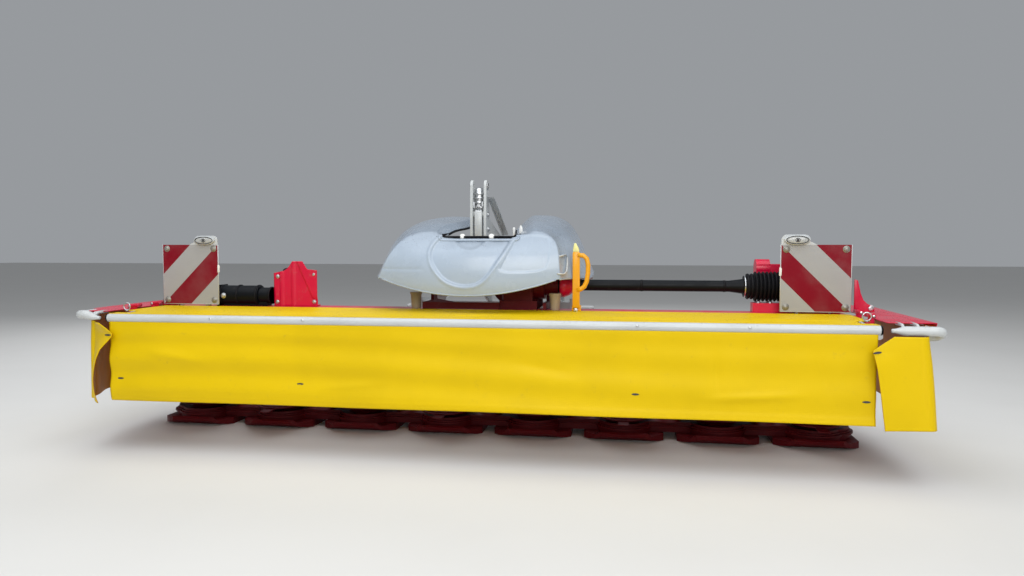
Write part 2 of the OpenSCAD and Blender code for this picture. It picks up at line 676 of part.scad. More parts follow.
// Telescopic parking stand in a sleeve behind the cross tube
stand_x = 330;
stand_w = 40;
stand_play = 0.5;
sleeve_t = 5;
sleeve_h = 130;
stand_y = cross_y + cross_tube + sleeve_t + stand_play + stand_w / 2;
stand_top = 620;
module stand_lugs() translate([stand_x, stand_y, hitch_z - sleeve_h / 2]) difference() {
    outer = stand_w + 2 * (sleeve_t + stand_play);
    translate([-outer / 2, -outer / 2, 0]) cube([outer, outer, sleeve_h]);
    translate([-outer / 2 + sleeve_t, -outer / 2 + sleeve_t, -1])
        cube([outer - 2 * sleeve_t, outer - 2 * sleeve_t, sleeve_h + 2]);
}
module stand() color(black) {
    translate([stand_x - stand_w / 2, stand_y - stand_w / 2, 6]) cube([stand_w, stand_w, stand_top - 6]);
    translate([stand_x - 60, stand_y - 50, 0]) cube([120, 92, 8]);
    translate([stand_x - stand_w / 2 - 12, stand_y - stand_w / 2 - 8, stand_top - 1])
        cube([stand_w + 24, stand_w + 12, 6]);
}
module stand_right() translate([hitch_x, 0, 0]) stand();
module stand_left() translate([hitch_x, 0, 0]) mirror([1, 0, 0]) stand();

cutter_bar();
skids();
cross_beam();
carrier_left();
carrier_right();
deck_frame();
deck_cover();
lock_rings();
side_gearbox();
drive_bellows();
shaft_guard();
centre_gearbox();
lift_frame();
float_legs();
float_springs();
headstock();
mast();
top_link_hook();
mast_strut();
hood();
blade_lever();
storage_tube();
cover_plate();
board_left();
board_right();
lamp_left();
lamp_right();
front_guard();
guard_cover();
front_curtain();
side_guard_left();
side_guard_right();
side_curtain_left();
side_curtain_right();
disc_1();
disc_2();
disc_3();
disc_4();
disc_5();
disc_6();
disc_7();
disc_8();
input_shaft();
stand_left();
stand_right();
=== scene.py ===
"""Looks for the front-mounted disc mower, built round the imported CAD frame."""

from math import cos, pi, radians, sin

import bmesh
import bpy
import numpy as np
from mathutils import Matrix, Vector
from mathutils.bvhtree import BVHTree


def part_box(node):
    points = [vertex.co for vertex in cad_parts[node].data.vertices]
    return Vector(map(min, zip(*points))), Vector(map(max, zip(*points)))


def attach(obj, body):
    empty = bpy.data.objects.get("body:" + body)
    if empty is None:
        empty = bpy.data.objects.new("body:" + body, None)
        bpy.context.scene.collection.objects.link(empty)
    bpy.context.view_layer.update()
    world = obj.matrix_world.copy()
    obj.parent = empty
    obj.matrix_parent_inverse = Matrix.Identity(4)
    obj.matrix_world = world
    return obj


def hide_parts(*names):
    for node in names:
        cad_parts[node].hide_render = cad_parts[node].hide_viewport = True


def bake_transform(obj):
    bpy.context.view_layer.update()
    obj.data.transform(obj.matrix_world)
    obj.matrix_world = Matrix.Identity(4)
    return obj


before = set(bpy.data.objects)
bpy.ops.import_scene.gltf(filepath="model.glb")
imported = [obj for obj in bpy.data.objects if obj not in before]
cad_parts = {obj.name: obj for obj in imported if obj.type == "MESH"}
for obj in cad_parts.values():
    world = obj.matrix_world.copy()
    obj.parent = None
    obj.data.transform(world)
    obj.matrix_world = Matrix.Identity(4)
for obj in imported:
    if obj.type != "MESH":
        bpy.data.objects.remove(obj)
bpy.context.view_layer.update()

# Sizes that the pieces share with the CAD, in metres
DECK_Z = 0.596
TUBE_Y, TUBE_Z, TUBE_R = -0.55, 0.575, 0.018
FRAME_HALF = 1.556
HOOD_X = -0.045
SIDES = (("left", -1), ("right", 1))
X, Y, Z, TO_FRONT = (1, 0, 0), (0, 1, 0), (0, 0, 1), (0, -1, 0)


# Materials

class Shader:
    """A node material, built up in a few calls."""

    def __init__(self, name, colour, rough, metallic=0, coat=0, spec=0.35):
        self.mat = bpy.data.materials.new(name)
        self.mat.use_nodes = True
        self.tree = self.mat.node_tree
        self.fixed = {"Metallic": metallic, "Coat Weight": coat, "Specular IOR Level": spec}
        self.colour, self.rough, self.height = (*colour, 1), rough, None
        self.coords = self.node("TexCoord", "Object")

    def fill(self, node, inputs):
        """Sets inputs to values or to other nodes' outputs."""
        for key, value in inputs.items():
            if hasattr(value, "links"):
                self.tree.links.new(value, node.inputs[key])
            else:
                node.inputs[key].default_value = value

    def node(self, kind, output, inputs=None, **settings):
        """Adds a node and returns one of its outputs."""
        node = self.tree.nodes.new("ShaderNode" + kind)
        for key, value in settings.items():
            setattr(node, key, value)
        self.fill(node, inputs or {})
        return node.outputs[output]

    def noise(self, scale, detail=3, rough=0.55):
        inputs = {"Vector": self.coords, "Scale": scale, "Detail": detail, "Roughness": rough}
        return self.node("TexNoise", "Fac", inputs)

    def cells(self, scale):
        return self.node("TexVoronoi", "Distance", {"Vector": self.coords, "Scale": scale})

    def ramp(self, source, low, high, to_high=1, to_low=0):
        inputs = {"Value": source, "From Min": low, "From Max": high, "To Min": to_low, "To Max": to_high}
        return self.node("MapRange", "Result", inputs, interpolation_type="SMOOTHSTEP")

    def math(self, kind, a, b=0):
        return self.node("Math", 0, {0: a, 1: b}, operation=kind)

    def axis(self, which, source="Object"):
        return self.node("SeparateXYZ", which, {0: self.node("TexCoord", source)})

    def wave(self, stretch):
        """A wave of that many radians a metre, from 0 to 1."""
        along = self.node("VectorMath", "Value", {0: self.coords, 1: stretch}, operation="DOT_PRODUCT")
        return self.ramp(self.math("SINE", along), -1, 1)

    def tint(self, factor, colour):
        """Mixes a colour in where factor is 1."""
        inputs = {"A": self.colour, "B": (*colour, 1), "Factor": factor}
        self.colour = self.node("Mix", "Result", inputs, data_type="RGBA")

    def gloss(self, factor, rough):
        """Mixes a roughness in where factor is 1."""
        self.rough = self.node("Mix", "Result", {"A": self.rough, "B": rough, "Factor": factor})

    def raise_by(self, height, distance, strength=1):
        """Adds a bump of that depth in metres."""
        inputs = {"Strength": strength, "Distance": distance, "Height": height}
        if self.height is not None:
            inputs["Normal"] = self.height
        self.height = self.node("Bump", "Normal", inputs)

    def drops(self, amount):
        """Rain drops of two sizes that stand on the upper faces."""
        up = self.ramp(self.axis("Z", "Normal"), 0.25, 0.7)
        for scale, reach, depth in ((75, 0.33, 0.0022), (190, 0.36, 0.001)):
            bead = self.ramp(self.cells(scale), 0.05, reach, 0, 1)
            patch = self.ramp(self.noise(scale / 9, 1), 0.44, 0.56)
            mask = self.math("MULTIPLY", self.math("MULTIPLY", bead, patch), up)
            mask = self.math("MULTIPLY", mask, amount)
            self.raise_by(mask, depth)
            self.gloss(mask, 0.04)

    def done(self):
        inputs = {"Base Color": self.colour, "Roughness": self.rough, "Coat Roughness": 0.12, **self.fixed}
        if self.height is not None:
            inputs["Normal"] = self.height
        self.fill(self.tree.nodes["Principled BSDF"], inputs)
        return self.mat


def darker(colour, part):
    return tuple(c * part for c in colour)


DUST, RUST = (0.3, 0.26, 0.21), (0.22, 0.12, 0.06)


def paint(name, colour, rough, coat=0.25, dust=0.25, wet=0, metallic=0, spec=0.35, top=0):
    """Paint or plastic with worn patches and dust; top darkens upper faces with a painted dark reflection."""
    s = Shader(name, colour, rough, coat=coat, metallic=metallic, spec=spec)
    s.tint(s.ramp(s.noise(5, 4), 0.35, 0.75, 0.3), darker(colour, 0.72))
    s.tint(s.ramp(s.noise(38, 5, 0.7), 0.56, 0.76, dust), DUST)
    s.gloss(s.ramp(s.noise(14, 4), 0.4, 0.7, 0.6), min(rough + 0.25, 0.9))
    s.raise_by(s.noise(260, 2), 0.0004, 0.35)
    # Painted reflection: upper faces are darkened to stand for the dark surroundings they mirror at a grazing
    # angle.
    if top:
        s.tint(s.ramp(s.axis("Z", "Normal"), 0.3, 0.75, top), darker(colour, 0.35))
    if wet:
        s.drops(wet)
    return s.done()


# The tarpaulin's soiling, and a painted shade, brown from the red frame's bounced light, on its faces turned
# to the machine
SOIL, PAINTED_INNER_SHADE = (0.36, 0.24, 0.05), (0.4, 0.145, 0.004)


def tarpaulin(name, colour, wet=0):
    """Woven cloth; faces turned to the machine get a painted shade, brown from the red frame's bounced light.
    """
    s = Shader(name, colour, 0.46, spec=0.16)
    s.tint(s.ramp(s.noise(3.2, 4), 0.38, 0.72, 0.45), darker(colour, 0.86))
    s.tint(s.ramp(s.noise(24, 6, 0.72), 0.6, 0.78, 0.35), SOIL)
    # Painted shade: faces turned inwards and to the rear take a brown shade colour.
    inward = s.math("MULTIPLY", s.axis("X"), s.axis("X", "Normal"))
    s.tint(s.ramp(inward, -1.3, -0.6, 0, 1), PAINTED_INNER_SHADE)
    s.tint(s.ramp(s.axis("Y", "Normal"), 0.5, 0.8), PAINTED_INNER_SHADE)
    s.gloss(s.ramp(s.noise(9, 3), 0.4, 0.7, 0.5), 0.58)
    for threads in ((900, 0, 0), (0, 900, 900)):
        s.raise_by(s.wave(threads), 0.0002, 0.25)
    s.raise_by(s.noise(26, 3), 0.0012, 0.35)
    if wet:
        s.drops(wet)
    return s.done()


# Warning boards, and the oval lamps on their inner upper corners
BOARD_X, BOARD_Y, BOARD, BOARD_FOOT = 1.425, -0.15, 0.282, DECK_Z + 0.011


def board_paint(name, side, sign):
    """Red and silver stripes at 45 degrees, grey on the back and the ear."""
    red, silver = (0.19, 0.003, 0.012), (0.34, 0.34, 0.34)
    grey, grime = (0.5, 0.52, 0.53), (0.25, 0.24, 0.23)
    low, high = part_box("board_" + side)
    outer = high[0] if sign > 0 else low[0]
    s = Shader(name, silver, 0.34, coat=0.02, spec=0.1)
    x = s.math("MULTIPLY", s.math("SUBTRACT", s.axis("X"), outer - sign * BOARD / 2), -sign)
    z = s.math("SUBTRACT", s.axis("Z"), BOARD_FOOT + BOARD / 2)
    across = s.math("DIVIDE", s.math("SUBTRACT", x, z), BOARD)
    stripe = s.math("SINE", s.math("MULTIPLY", across, 2 * pi))
    s.tint(s.ramp(stripe, -0.012, 0.012), red)
    s.tint(s.ramp(s.noise(7, 4), 0.35, 0.75, 0.14), grime)
    s.tint(s.ramp(z, BOARD / 2 - 0.0005, BOARD / 2 + 0.0005), grey)
    s.tint(s.ramp(s.axis("Y", "Normal"), -0.6, -0.4), grey)
    s.raise_by(s.cells(420), 0.0003, 0.25)
    return s.done()


def glass(name, colour):
    s = Shader(name, colour, 0.16, coat=0.6)
    s.tint(s.ramp(s.cells(60), 0.2, 0.6, 0.25), darker(colour, 0.6))
    s.raise_by(s.wave((700, 0, 0)), 0.0005, 0.4)
    return s.done()


def steel(name, colour, rough):
    s = Shader(name, colour, rough, metallic=1)
    s.tint(s.ramp(s.noise(60, 4, 0.7), 0.45, 0.7, 0.5), darker(colour, 0.6))
    s.tint(s.ramp(s.noise(21, 5, 0.7), 0.6, 0.75, 0.5), RUST)
    s.gloss(s.ramp(s.noise(90, 3), 0.4, 0.7), rough + 0.2)
    s.raise_by(s.noise(400, 2), 0.0002, 0.3)
    return s.done()


RED, YELLOW = (0.58, 0.003, 0.04), (0.69, 0.47, 0)

MAT = {
    "red": paint("red_paint", RED, 0.3, 0.12, 0.2),
    "wet_red": paint("wet_red_paint", RED, 0.28, 0.15, 0.2, wet=1),
    # Painted shade: the red made much darker for parts deep in shade under the curtain and hood.
    "dark_red": paint("dark_red_paint", (0.1, 0.002, 0.005), 0.5, 0, 0.06, spec=0.2),
    "grey": paint("grey_paint", (0.5, 0.52, 0.52), 0.3, 0.3, 0.15, wet=0.6),
    # The hood's upper faces are darkened by top, a painted dark reflection.
    "shell": paint("grey_shell", (0.36, 0.43, 0.52), 0.24, 0.35, 0.03, wet=1, top=0.55),
    "black": paint("black_plastic", (0.003, 0.004, 0.006), 0.4, 0, 0.03, spec=0.14),
    "rubber": paint("black_rubber", (0.005, 0.005, 0.007), 0.5, 0, 0.04, spec=0.14),
    "dark_steel": paint("dark_steel", (0.035, 0.035, 0.038), 0.45, 0.1, 0.5),
    # Painted bounce light: grey legs given a cream colour for the yellow light the tarpaulin throws on them.
    "bounce_lit_grey": paint("cream_paint", (0.36, 0.28, 0.18), 0.45, 0.1, 0.25),
    "orange": paint("orange_paint", (0.8, 0.36, 0.005), 0.32, 0.3, 0.12),
    "pale": paint("pale_plastic", (0.78, 0.74, 0.3), 0.4, 0.1, 0.1),
    "white": paint("white_plastic", (0.72, 0.72, 0.7), 0.38, 0.1, 0.15),
    "zinc": steel("zinc_steel", (0.6, 0.61, 0.62), 0.28),
    "tarp": tarpaulin("yellow_tarpaulin", YELLOW),
    "wet_tarp": tarpaulin("wet_tarpaulin", YELLOW, wet=1),
    "dull": paint("dull_bolts", (0.27, 0.26, 0.23), 0.35, 0.1, 0.2, metallic=0.4),
    "lens": glass("lamp_lens", (0.42, 0.43, 0.42)),
}
for side, sign in SIDES:
    MAT["board_" + side] = board_paint("board_sheet_" + side, side, sign)

LOOK_NODES = {
    # These parts take the red darkened as painted shade.
    "dark_red": "cutter_bar skids centre_gearbox lift_frame " + " ".join(f"disc_{i}" for i in range(1, 9)),
    "red": "cross_beam carrier_left carrier_right deck_frame",
    "wet_red": "side_gearbox cover_plate side_guard_left side_guard_right",
    "grey": "headstock mast mast_strut front_guard",
    "zinc": "top_link_hook lock_rings input_shaft float_springs",
    "tarp": "front_curtain side_curtain_left side_curtain_right", "wet_tarp": "deck_cover guard_cover",
    "black": "shaft_guard storage_tube", "dark_steel": "stand_left stand_right",
    "lens": "lamp_left lamp_right", "board_left": "board_left", "board_right": "board_right",
    "rubber": "drive_bellows", "bounce_lit_grey": "float_legs", "orange": "blade_lever", "shell": "hood",
}
for look_name, node_names in LOOK_NODES.items():
    for node_name in node_names.split():
        for material_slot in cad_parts[node_name].material_slots:
            material_slot.material = MAT[look_name]


# Mesh builders

def add_mesh(name, verts, faces, look, body=None, smooth=True):
    mesh = bpy.data.meshes.new(name)
    mesh.from_pydata([tuple(float(c) for c in v) for v in verts], [], faces)
    mesh.materials.append(MAT[look])
    if smooth:
        mesh.shade_smooth()
    obj = bpy.data.objects.new(name, mesh)
    bpy.context.collection.objects.link(obj)
    if body:
        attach(obj, body)
    return obj


def bake(obj):
    """Applies the modifiers of a piece to its mesh."""
    graph = bpy.context.evaluated_depsgraph_get()
    mesh = bpy.data.meshes.new_from_object(obj.evaluated_get(graph))
    obj.modifiers.clear()
    obj.data = mesh
    return obj


def thicken(obj, depth, offset=0):
    mod = obj.modifiers.new("thick", "SOLIDIFY")
    mod.thickness, mod.offset = depth, offset
    return bake(obj)


def rounded(obj, width):
    mod = obj.modifiers.new("edge", "BEVEL")
    mod.width, mod.segments, mod.limit_method = width, 2, "ANGLE"
    mod.angle_limit = radians(35)
    bake(obj)
    obj.data.shade_smooth()


def grid_faces(rows, cols, keep=None):
    """Quads of a grid of points, without the cells that keep refuses."""
    return [(j * cols + i, j * cols + i + 1, (j + 1) * cols + i + 1, (j + 1) * cols + i)
            for j in range(rows - 1) for i in range(cols - 1) if keep is None or keep(j, i)]


def unit_grid(cols, rows, low=0, high=1):
    """A value from low to high across a grid, and one from 0 to 1 along it."""
    return np.meshgrid(np.linspace(low, high, cols), np.linspace(0, 1, rows))


def sheet_piece(name, x, y, z, depth, look, sign=1, keep=None, offset=0):
    """A sheet from grids of coordinates, mirrored where sign is -1."""
    faces = [f[::sign] for f in grid_faces(*x.shape, keep)]
    verts = np.stack([sign * x, y, z], -1).reshape(-1, 3)
    return thicken(add_mesh(name, verts, faces, look), depth, offset)


def ring_faces(rings, sides, open_start=False, open_end=False):
    """Quads between rings of points, and the end faces."""
    faces = []
    for j in range(0, (rings - 1) * sides, sides):
        for k, following in zip(range(sides), (*range(1, sides), 0)):
            faces.append((j + k, j + following, j + sides + following, j + sides + k))
    if not open_start:
        faces.append(tuple(reversed(range(sides))))
    if not open_end:
        faces.append(tuple(range((rings - 1) * sides, rings * sides)))
    return faces


def circle(sides):
    return [2 * pi * k / sides for k in range(sides)]


def tube_mesh(path, radius, sides=16):
    """Verts and faces of a tube; radius is one number or one for each point."""
    points = [Vector(p) for p in path]
    last = len(points) - 1
    ahead = [(points[min(i + 1, last)] - points[max(i - 1, 0)]).normalized() for i in range(last + 1)]
    radii = [radius] * len(points) if np.isscalar(radius) else list(radius)
    side = ahead[0].orthogonal().normalized()
    verts = []
    for p, direction, r in zip(points, ahead, radii):
        side = (side - direction * side.dot(direction)).normalized()
        other = direction.cross(side)
        verts.extend(p + side * (r * cos(t)) + other * (r * sin(t)) for t in circle(sides))
    return verts, ring_faces(len(points), sides)


def tube(name, path, radius, look, body="mower", sides=16):
    return add_mesh(name, *tube_mesh(path, radius, sides), look, body)


def joined(name, parts, look, body="mower"):
    """One piece from several (verts, faces) pairs."""
    verts, faces = [], []
    for more, quads in parts:
        base = len(verts)
        verts.extend(more)
        faces.extend(tuple(base + i for i in q) for q in quads)
    return add_mesh(name, verts, faces, look, body)


def round_axis(axis):
    """The axis as a unit vector and two directions across it."""
    axis = Vector(axis).normalized()
    side = axis.orthogonal().normalized()
    return axis, side, axis.cross(side)


def turned(profile, centre, axis, sides=32, is_open=False):
    """Verts and faces of a profile of (distance along, radius), turned about the axis."""
    axis, side, other = round_axis(axis)
    centre = Vector(centre)
    verts = [centre + axis * d + (side * cos(t) + other * sin(t)) * r
             for d, r in profile for t in circle(sides)]
    return verts, ring_faces(len(profile), sides, is_open, is_open)


def band(width, radius, height, centre, axis, sides):
    """A flat ring of that width round a pipe."""
    top = radius + height
    return turned([(0, radius), (0, top), (width, top), (width, radius)], centre, axis, sides)


def hex_bolt(place, axis, size):
    """A hexagonal head of that size across the corners, on a washer."""
    washer = [(-0.001, size * 0.62), (0.0016, size * 0.62), (0.0018, size * 0.58)]
    head = [(0.0015, size * 0.48)]
    head += [(size * d, size * r) for d, r in ((0.26, 0.5), (0.34, 0.44), (0.36, 0.3))]
    return [turned(washer, place, axis, 20), turned(head, place, axis, 6)]


def dome_bolt(place, axis, size):
    """A domed head on a washer."""
    profile = [(-0.001, size * 0.5), (0.001, size * 0.5), (0.0012, size * 0.36)]
    for t in np.linspace(0.1, 1.5, 6):
        profile.append((0.0012 + size * 0.17 * sin(t), size * 0.34 * cos(t)))
    return [turned(profile, place, axis, 20)]


def spun(name, profile, places, axis, sides, look, body="mower"):
    return joined(name, [turned(profile, place, axis, sides) for place in places], look, body)


def fasteners(name, kind, places, axis, size, look="zinc", body="mower"):
    return joined(name, [part for place in places for part in kind(place, axis, size)], look, body)


def plate(name, outline, origin, depth, look, body="mower", edge=0.0015, up=Z):
    """A plate with its outline of (a, b) points along X and up."""
    across, up, origin = Vector(X), Vector(up), Vector(origin)
    back = across.cross(up).normalized() * depth
    n = len(outline)
    verts = [origin + across * a + up * b for a, b in outline]
    verts += [v + back for v in verts]
    faces = [tuple(reversed(range(n))), tuple(range(n, 2 * n))]
    faces += [(i, (i + 1) % n, (i + 1) % n + n, i + n) for i in range(n)]
    obj = add_mesh(name, verts, faces, look, None, smooth=False)
    rounded(obj, edge)
    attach(obj, body)
    return obj


def ease(low, high, value):
    t = np.clip((value - low) / (high - low), 0, 1)
    return t * t * (3 - 2 * t)


def bump(value, width):
    """A bell of height 1 round 0."""
    return np.exp(-(value / width) ** 2)


def ripple(seed, count, reach, *axes):
    """A soft random wave over one or two coordinates, about +-1."""
    own = np.random.default_rng(seed)
    total = 0
    for _ in range(count):
        height, phase = own.uniform(0.4, 1) / count ** 0.5, own.uniform(0, 2 * pi)
        waves = [own.normal(0, r) for r in reach]
        total = total + height * np.sin(phase + sum(k * x for k, x in zip(waves, axes)))
    return total


def along_segment(a, b, x, z):
    """Points' place along the segment from a to b, 0 to 1, and distance to it."""
    dx, dz = b[0] - a[0], b[1] - a[1]
    t = np.clip(((x - a[0]) * dx + (z - a[1]) * dz) / (dx * dx + dz * dz), 0, 1)
    return t, np.hypot(x - a[0] - t * dx, z - a[1] - t * dz)


# Hood: arcs from the rear to the front crease, then the front face down to its lower edge

# Columns: y, width left and right of the middle, lower edge, crest, roundness and lean of the right side
HOOD_ROWS = [(0.33, 0.514, 0.514, 0.76, 1.042, 0.3, 0.23), (0.24, 0.519, 0.519, 0.752, 1.036, 0.31, 0.23),
             (0.15, 0.522, 0.522, 0.745, 1.028, 0.32, 0.23), (0.075, 0.518, 0.52, 0.741, 1.018, 0.35, 0.22),
             (0, 0.497, 0.516, 0.738, 1.008, 0.38, 0.21), (-0.075, 0.47, 0.492, 0.74, 1.002, 0.4, 0.19),
             (-0.15, 0.438, 0.45, 0.742, 0.992, 0.42, 0.17), (-0.205, 0.42, 0.424, 0.742, 0.978, 0.4, 0.11)]
HOOD_FRONT = (None, 0.4, 0.402, 0.742, 0.958, 0.36, 0.03)
# The left side slopes more than the right one
LEFT_ROUND, LEFT_LEAN = 0.45, 0.25
# Parts of the way from the last arc to the crease, and from the crease to just below it
CREASE_STEPS, CREASE_EDGE = (0.45, 0.82, 1), 0.035
# Lower edge of the front face: half width, height in the middle and its rise to the sides
FACE_HALF, FACE_LOW, FACE_RISE = 0.386, 0.672, 0.46
# The notch is narrower at the rear; its sides start from the front face at NOTCH_Y
NOTCH_LOW, NOTCH_HIGH, NOTCH_Z, NOTCH_R = -0.152, 0.168, 0.922, 0.012
NOTCH_Y, NOTCH_TAPER = -0.27, 0.145
# Outlines on the front face, in x and z: the scooped oval, the pocket under the notch, the panel beside it
SCOOP = [(-0.15, 0.99), (-0.139, 0.945), (-0.187, 0.903), (-0.207, 0.86), (-0.201, 0.81), (-0.154, 0.744),
         (-0.105, 0.715), (-0.045, 0.703), (0.015, 0.713), (0.06, 0.75), (0.1, 0.812), (0.14, 0.876),
         (0.165, 0.925), (0.185, 0.99)]
POCKET = [(-0.12, 0.945), (-0.11, 0.916), (-0.09, 0.893), (-0.063, 0.873), (-0.032, 0.863), (0.005, 0.87),
          (0.038, 0.896), (0.059, 0.916), (0.068, 0.945)]
PANEL = [(0.172, 0.934), (0.295, 0.932), (0.322, 0.905), (0.314, 0.812), (0.293, 0.77), (0.085, 0.764),
         (0.125, 0.832)]
# A crease runs along the face at this height, left of this x
CREASE_Z, CREASE_X = 0.783, -0.215
# How far the top sinks beside the notch
LEFT_SINK, RIGHT_SINK = 0.028, 0.07


def hood_arc(row, count):
    """Evenly spaced x and z over the hood, from its left lower edge to its right one."""
    _, left, right, low, top, power, lean = row
    angle = np.linspace(0, pi, 800)
    c = np.cos(angle)
    on_left = c > 0
    half = np.where(on_left, left, right)
    power, lean = np.where(on_left, LEFT_ROUND, power), np.where(on_left, LEFT_LEAN, lean)
    s = np.sin(angle) ** power
    x = -half * np.sign(c) * np.abs(c) ** power * (1 - lean * s)
    z = low + (top - 0.02 * bump(x, 0.19) - low) * s
    run = np.concatenate([[0], np.cumsum(np.hypot(np.diff(x), np.diff(z)))])
    even = np.linspace(0, run[-1], count)
    return np.interp(even, run, x), np.interp(even, run, z)


def face_y(x, z):
    """The hood's front face, at x from its middle."""
    return -0.345 + 0.45 * x ** 2 + 1.9 * (z - 0.76) ** 2


def hood_points(count, face_rows):
    rows = []
    for row in HOOD_ROWS:
        x, z = hood_arc(row, count)
        rows.append(np.stack([x, np.full(count, row[0]), z], 1))
    x, z = hood_arc(HOOD_FRONT, count)
    crease = np.stack([x, face_y(x, z), z], 1)
    for part in CREASE_STEPS:
        rows.append(rows[len(HOOD_ROWS) - 1] * (1 - part) + crease * part)
    low_x = np.linspace(-FACE_HALF, FACE_HALF, count)
    low_z = FACE_LOW + FACE_RISE * low_x ** 2
    for part in [CREASE_EDGE] + list(np.linspace(0, 1, face_rows)[1:]):
        fx, fz = x + (low_x - x) * part, z + (low_z - z) * part
        rows.append(np.stack([fx, face_y(fx, fz), fz], 1))
    return np.array(rows)


def smoothed(path, passes=2):
    """A closed outline with its corners cut round."""
    for _ in range(passes):
        path = [((1 - t) * a[0] + t * b[0], (1 - t) * a[1] + t * b[1])
                for a, b in zip(path, path[1:] + path[:1]) for t in (0.25, 0.75)]
    return path


def depth_in(path, x, z):
    """Distance to a closed outline, below 0 outside it."""
    near, inside = np.full(x.shape, 9.0), np.zeros(x.shape, bool)
    for a, b in zip(path, path[1:] + path[:1]):
        near = np.minimum(near, along_segment(a, b, x, z)[1])
        if a[1] != b[1]:
            crossing = a[0] + (b[0] - a[0]) * (z - a[1]) / (b[1] - a[1])
            inside ^= ((a[1] > z) != (b[1] > z)) & (x < crossing)
    return np.where(inside, near, -near)


def notch_sides(y, out=0):
    """x of the notch's left and right side."""
    shift = NOTCH_TAPER * (y - NOTCH_Y)
    return NOTCH_LOW + shift - out, NOTCH_HIGH - shift + out


def notch_corners(low, high, floor_z, count):
    """Directions round the notch's lower corners, with x and z there."""
    for centre, start in ((low + NOTCH_R, 180), (high - NOTCH_R, 270)):
        for t in np.radians(np.linspace(start, start + 90, count)):
            c, s = cos(t), sin(t)
            yield c, s, centre + NOTCH_R * c, floor_z + NOTCH_R + NOTCH_R * s


def shape_hood(obj):
    """Moves the shell to its place, presses in the outlines and slopes the notch's sides."""
    mesh = obj.data
    count = len(mesh.vertices)
    co, normal = np.empty(count * 3), np.empty(count * 3)
    mesh.vertices.foreach_get("co", co)
    mesh.vertex_normals.foreach_get("vector", normal)
    co, normal = co.reshape(-1, 3), normal.reshape(-1, 3)
    co[:, 0] += HOOD_X
    x, y, z = co[:, 0], co[:, 1].copy(), co[:, 2].copy()
    facing = ease(0.25, 0.6, np.abs(normal[:, 1])) * (y < -0.18)
    scoop, pocket, panel = (depth_in(smoothed(path), x, z) for path in (SCOOP, POCKET, PANEL))
    dent = 0.0085 * ease(0, 0.016, scoop)
    dent += 0.022 * ease(0.86, 0.965, z) * ease(0, 0.07, scoop)
    dent += 0.005 * ease(0, 0.01, pocket) + 0.003 * ease(0, 0.01, panel)
    dent -= 0.003 * bump(scoop, 0.007) + 0.0012 * bump(pocket, 0.005)
    dent += 0.0014 * bump(z - CREASE_Z, 0.006) * ease(CREASE_X, CREASE_X - 0.03, x)
    co[:, 1] += facing * dent
    low, high = notch_sides(y)
    top = ease(0.3, 0.65, normal[:, 2]) * ease(NOTCH_Z + 0.006, NOTCH_Z + 0.04, z)
    co[:, 2] -= top * LEFT_SINK * ease(0.036, 0.01, low - x) * (x < 0)
    co[:, 2] -= top * RIGHT_SINK * ease(0.095, -0.02, x - high) * (x > 0)
    mesh.vertices.foreach_set("co", co.reshape(-1))
    mesh.update()


def cut_notch(obj):
    """Cuts the shell along the notch's planes and deletes what lies inside them."""
    planes = [(Vector((x, NOTCH_Y, z)), Vector((c, NOTCH_TAPER * abs(c), s)))
              for c, s, x, z in notch_corners(NOTCH_LOW, NOTCH_HIGH, NOTCH_Z, 6)]
    bm = bmesh.new()
    bm.from_mesh(obj.data)
    for place, out in planes:
        near = []
        for f in bm.faces:
            c = f.calc_center_median()
            if c.z > NOTCH_Z - 0.03 and NOTCH_LOW - 0.03 < c.x < NOTCH_HIGH + 0.03:
                near.append(f)
        geometry = list({v for f in near for v in f.verts}) + list({e for f in near for e in f.edges}) + near
        bmesh.ops.bisect_plane(bm, geom=geometry, plane_co=place, plane_no=out)
    inside = [f for f in bm.faces
              if all((f.calc_center_median() - place).dot(out) < 0 for place, out in planes)]
    bmesh.ops.delete(bm, geom=inside, context="FACES")
    bm.to_mesh(obj.data)
    bm.free()


def hit(start, direction):
    """Where a ray meets the uncut hood, and the normal there."""
    place, normal, _, _ = hood_tree.ray_cast(Vector(start), Vector(direction).normalized())
    return place, normal


def notch_path(out=0):
    """Points along the notch's edge, from its rear left end to its rear right one."""
    floor_z = NOTCH_Z - out
    sides = []
    for x, taper in zip(notch_sides(0, out), (NOTCH_TAPER, -NOTCH_TAPER)):
        rays = [(taper * cos(t), cos(t), sin(t)) for t in np.radians(np.linspace(37, 149, 46))]
        places = [hit((x, 0, 0.8), ray)[0] for ray in rays]
        sides.append([p for p in places if p and p.z > floor_z + NOTCH_R])
    corners = notch_corners(NOTCH_LOW - out, NOTCH_HIGH + out, floor_z, 7)
    front = [hit((x, -1, z), Y)[0] for _, _, x, z in corners]
    return sides[0] + [p for p in front if p] + list(reversed(sides[1]))


def on_face(x, z, out=0):
    """The point that lies out metres before the hood's front, and the normal there."""
    place, normal = hit((x, -1, z), Y)
    if normal.y > 0:
        normal = -normal
    return place + normal * out, normal


hood_grid = hood_points(78, 14)
hood = add_mesh("hood_shell", hood_grid.reshape(-1, 3), grid_faces(*hood_grid.shape[:2]), "shell")
smoothing = hood.modifiers.new("smooth", "SUBSURF")
smoothing.levels = smoothing.render_levels = 2
bake(hood)
hood.data.flip_normals()
shape_hood(hood)
hood_tree = BVHTree.FromObject(hood, bpy.context.evaluated_depsgraph_get())
cut_notch(hood)
thicken(hood, 0.004)
hood.data.shade_smooth()
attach(hood, "mower")
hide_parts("hood")

tube("hood_notch_rubber", notch_path(), 0.0052, "rubber", sides=10)
tube("hood_notch_rim", notch_path(0.013), 0.0065, "shell", sides=12)
last_arc = len(HOOD_ROWS) + len(CREASE_STEPS)
rims = [hood_grid[-1], hood_grid[:last_arc, 0], hood_grid[:last_arc, -1]]
joined("hood_rim", [tube_mesh([(HOOD_X + x, y, z) for x, y, z in rim], 0.0045, 8) for rim in rims], "shell")

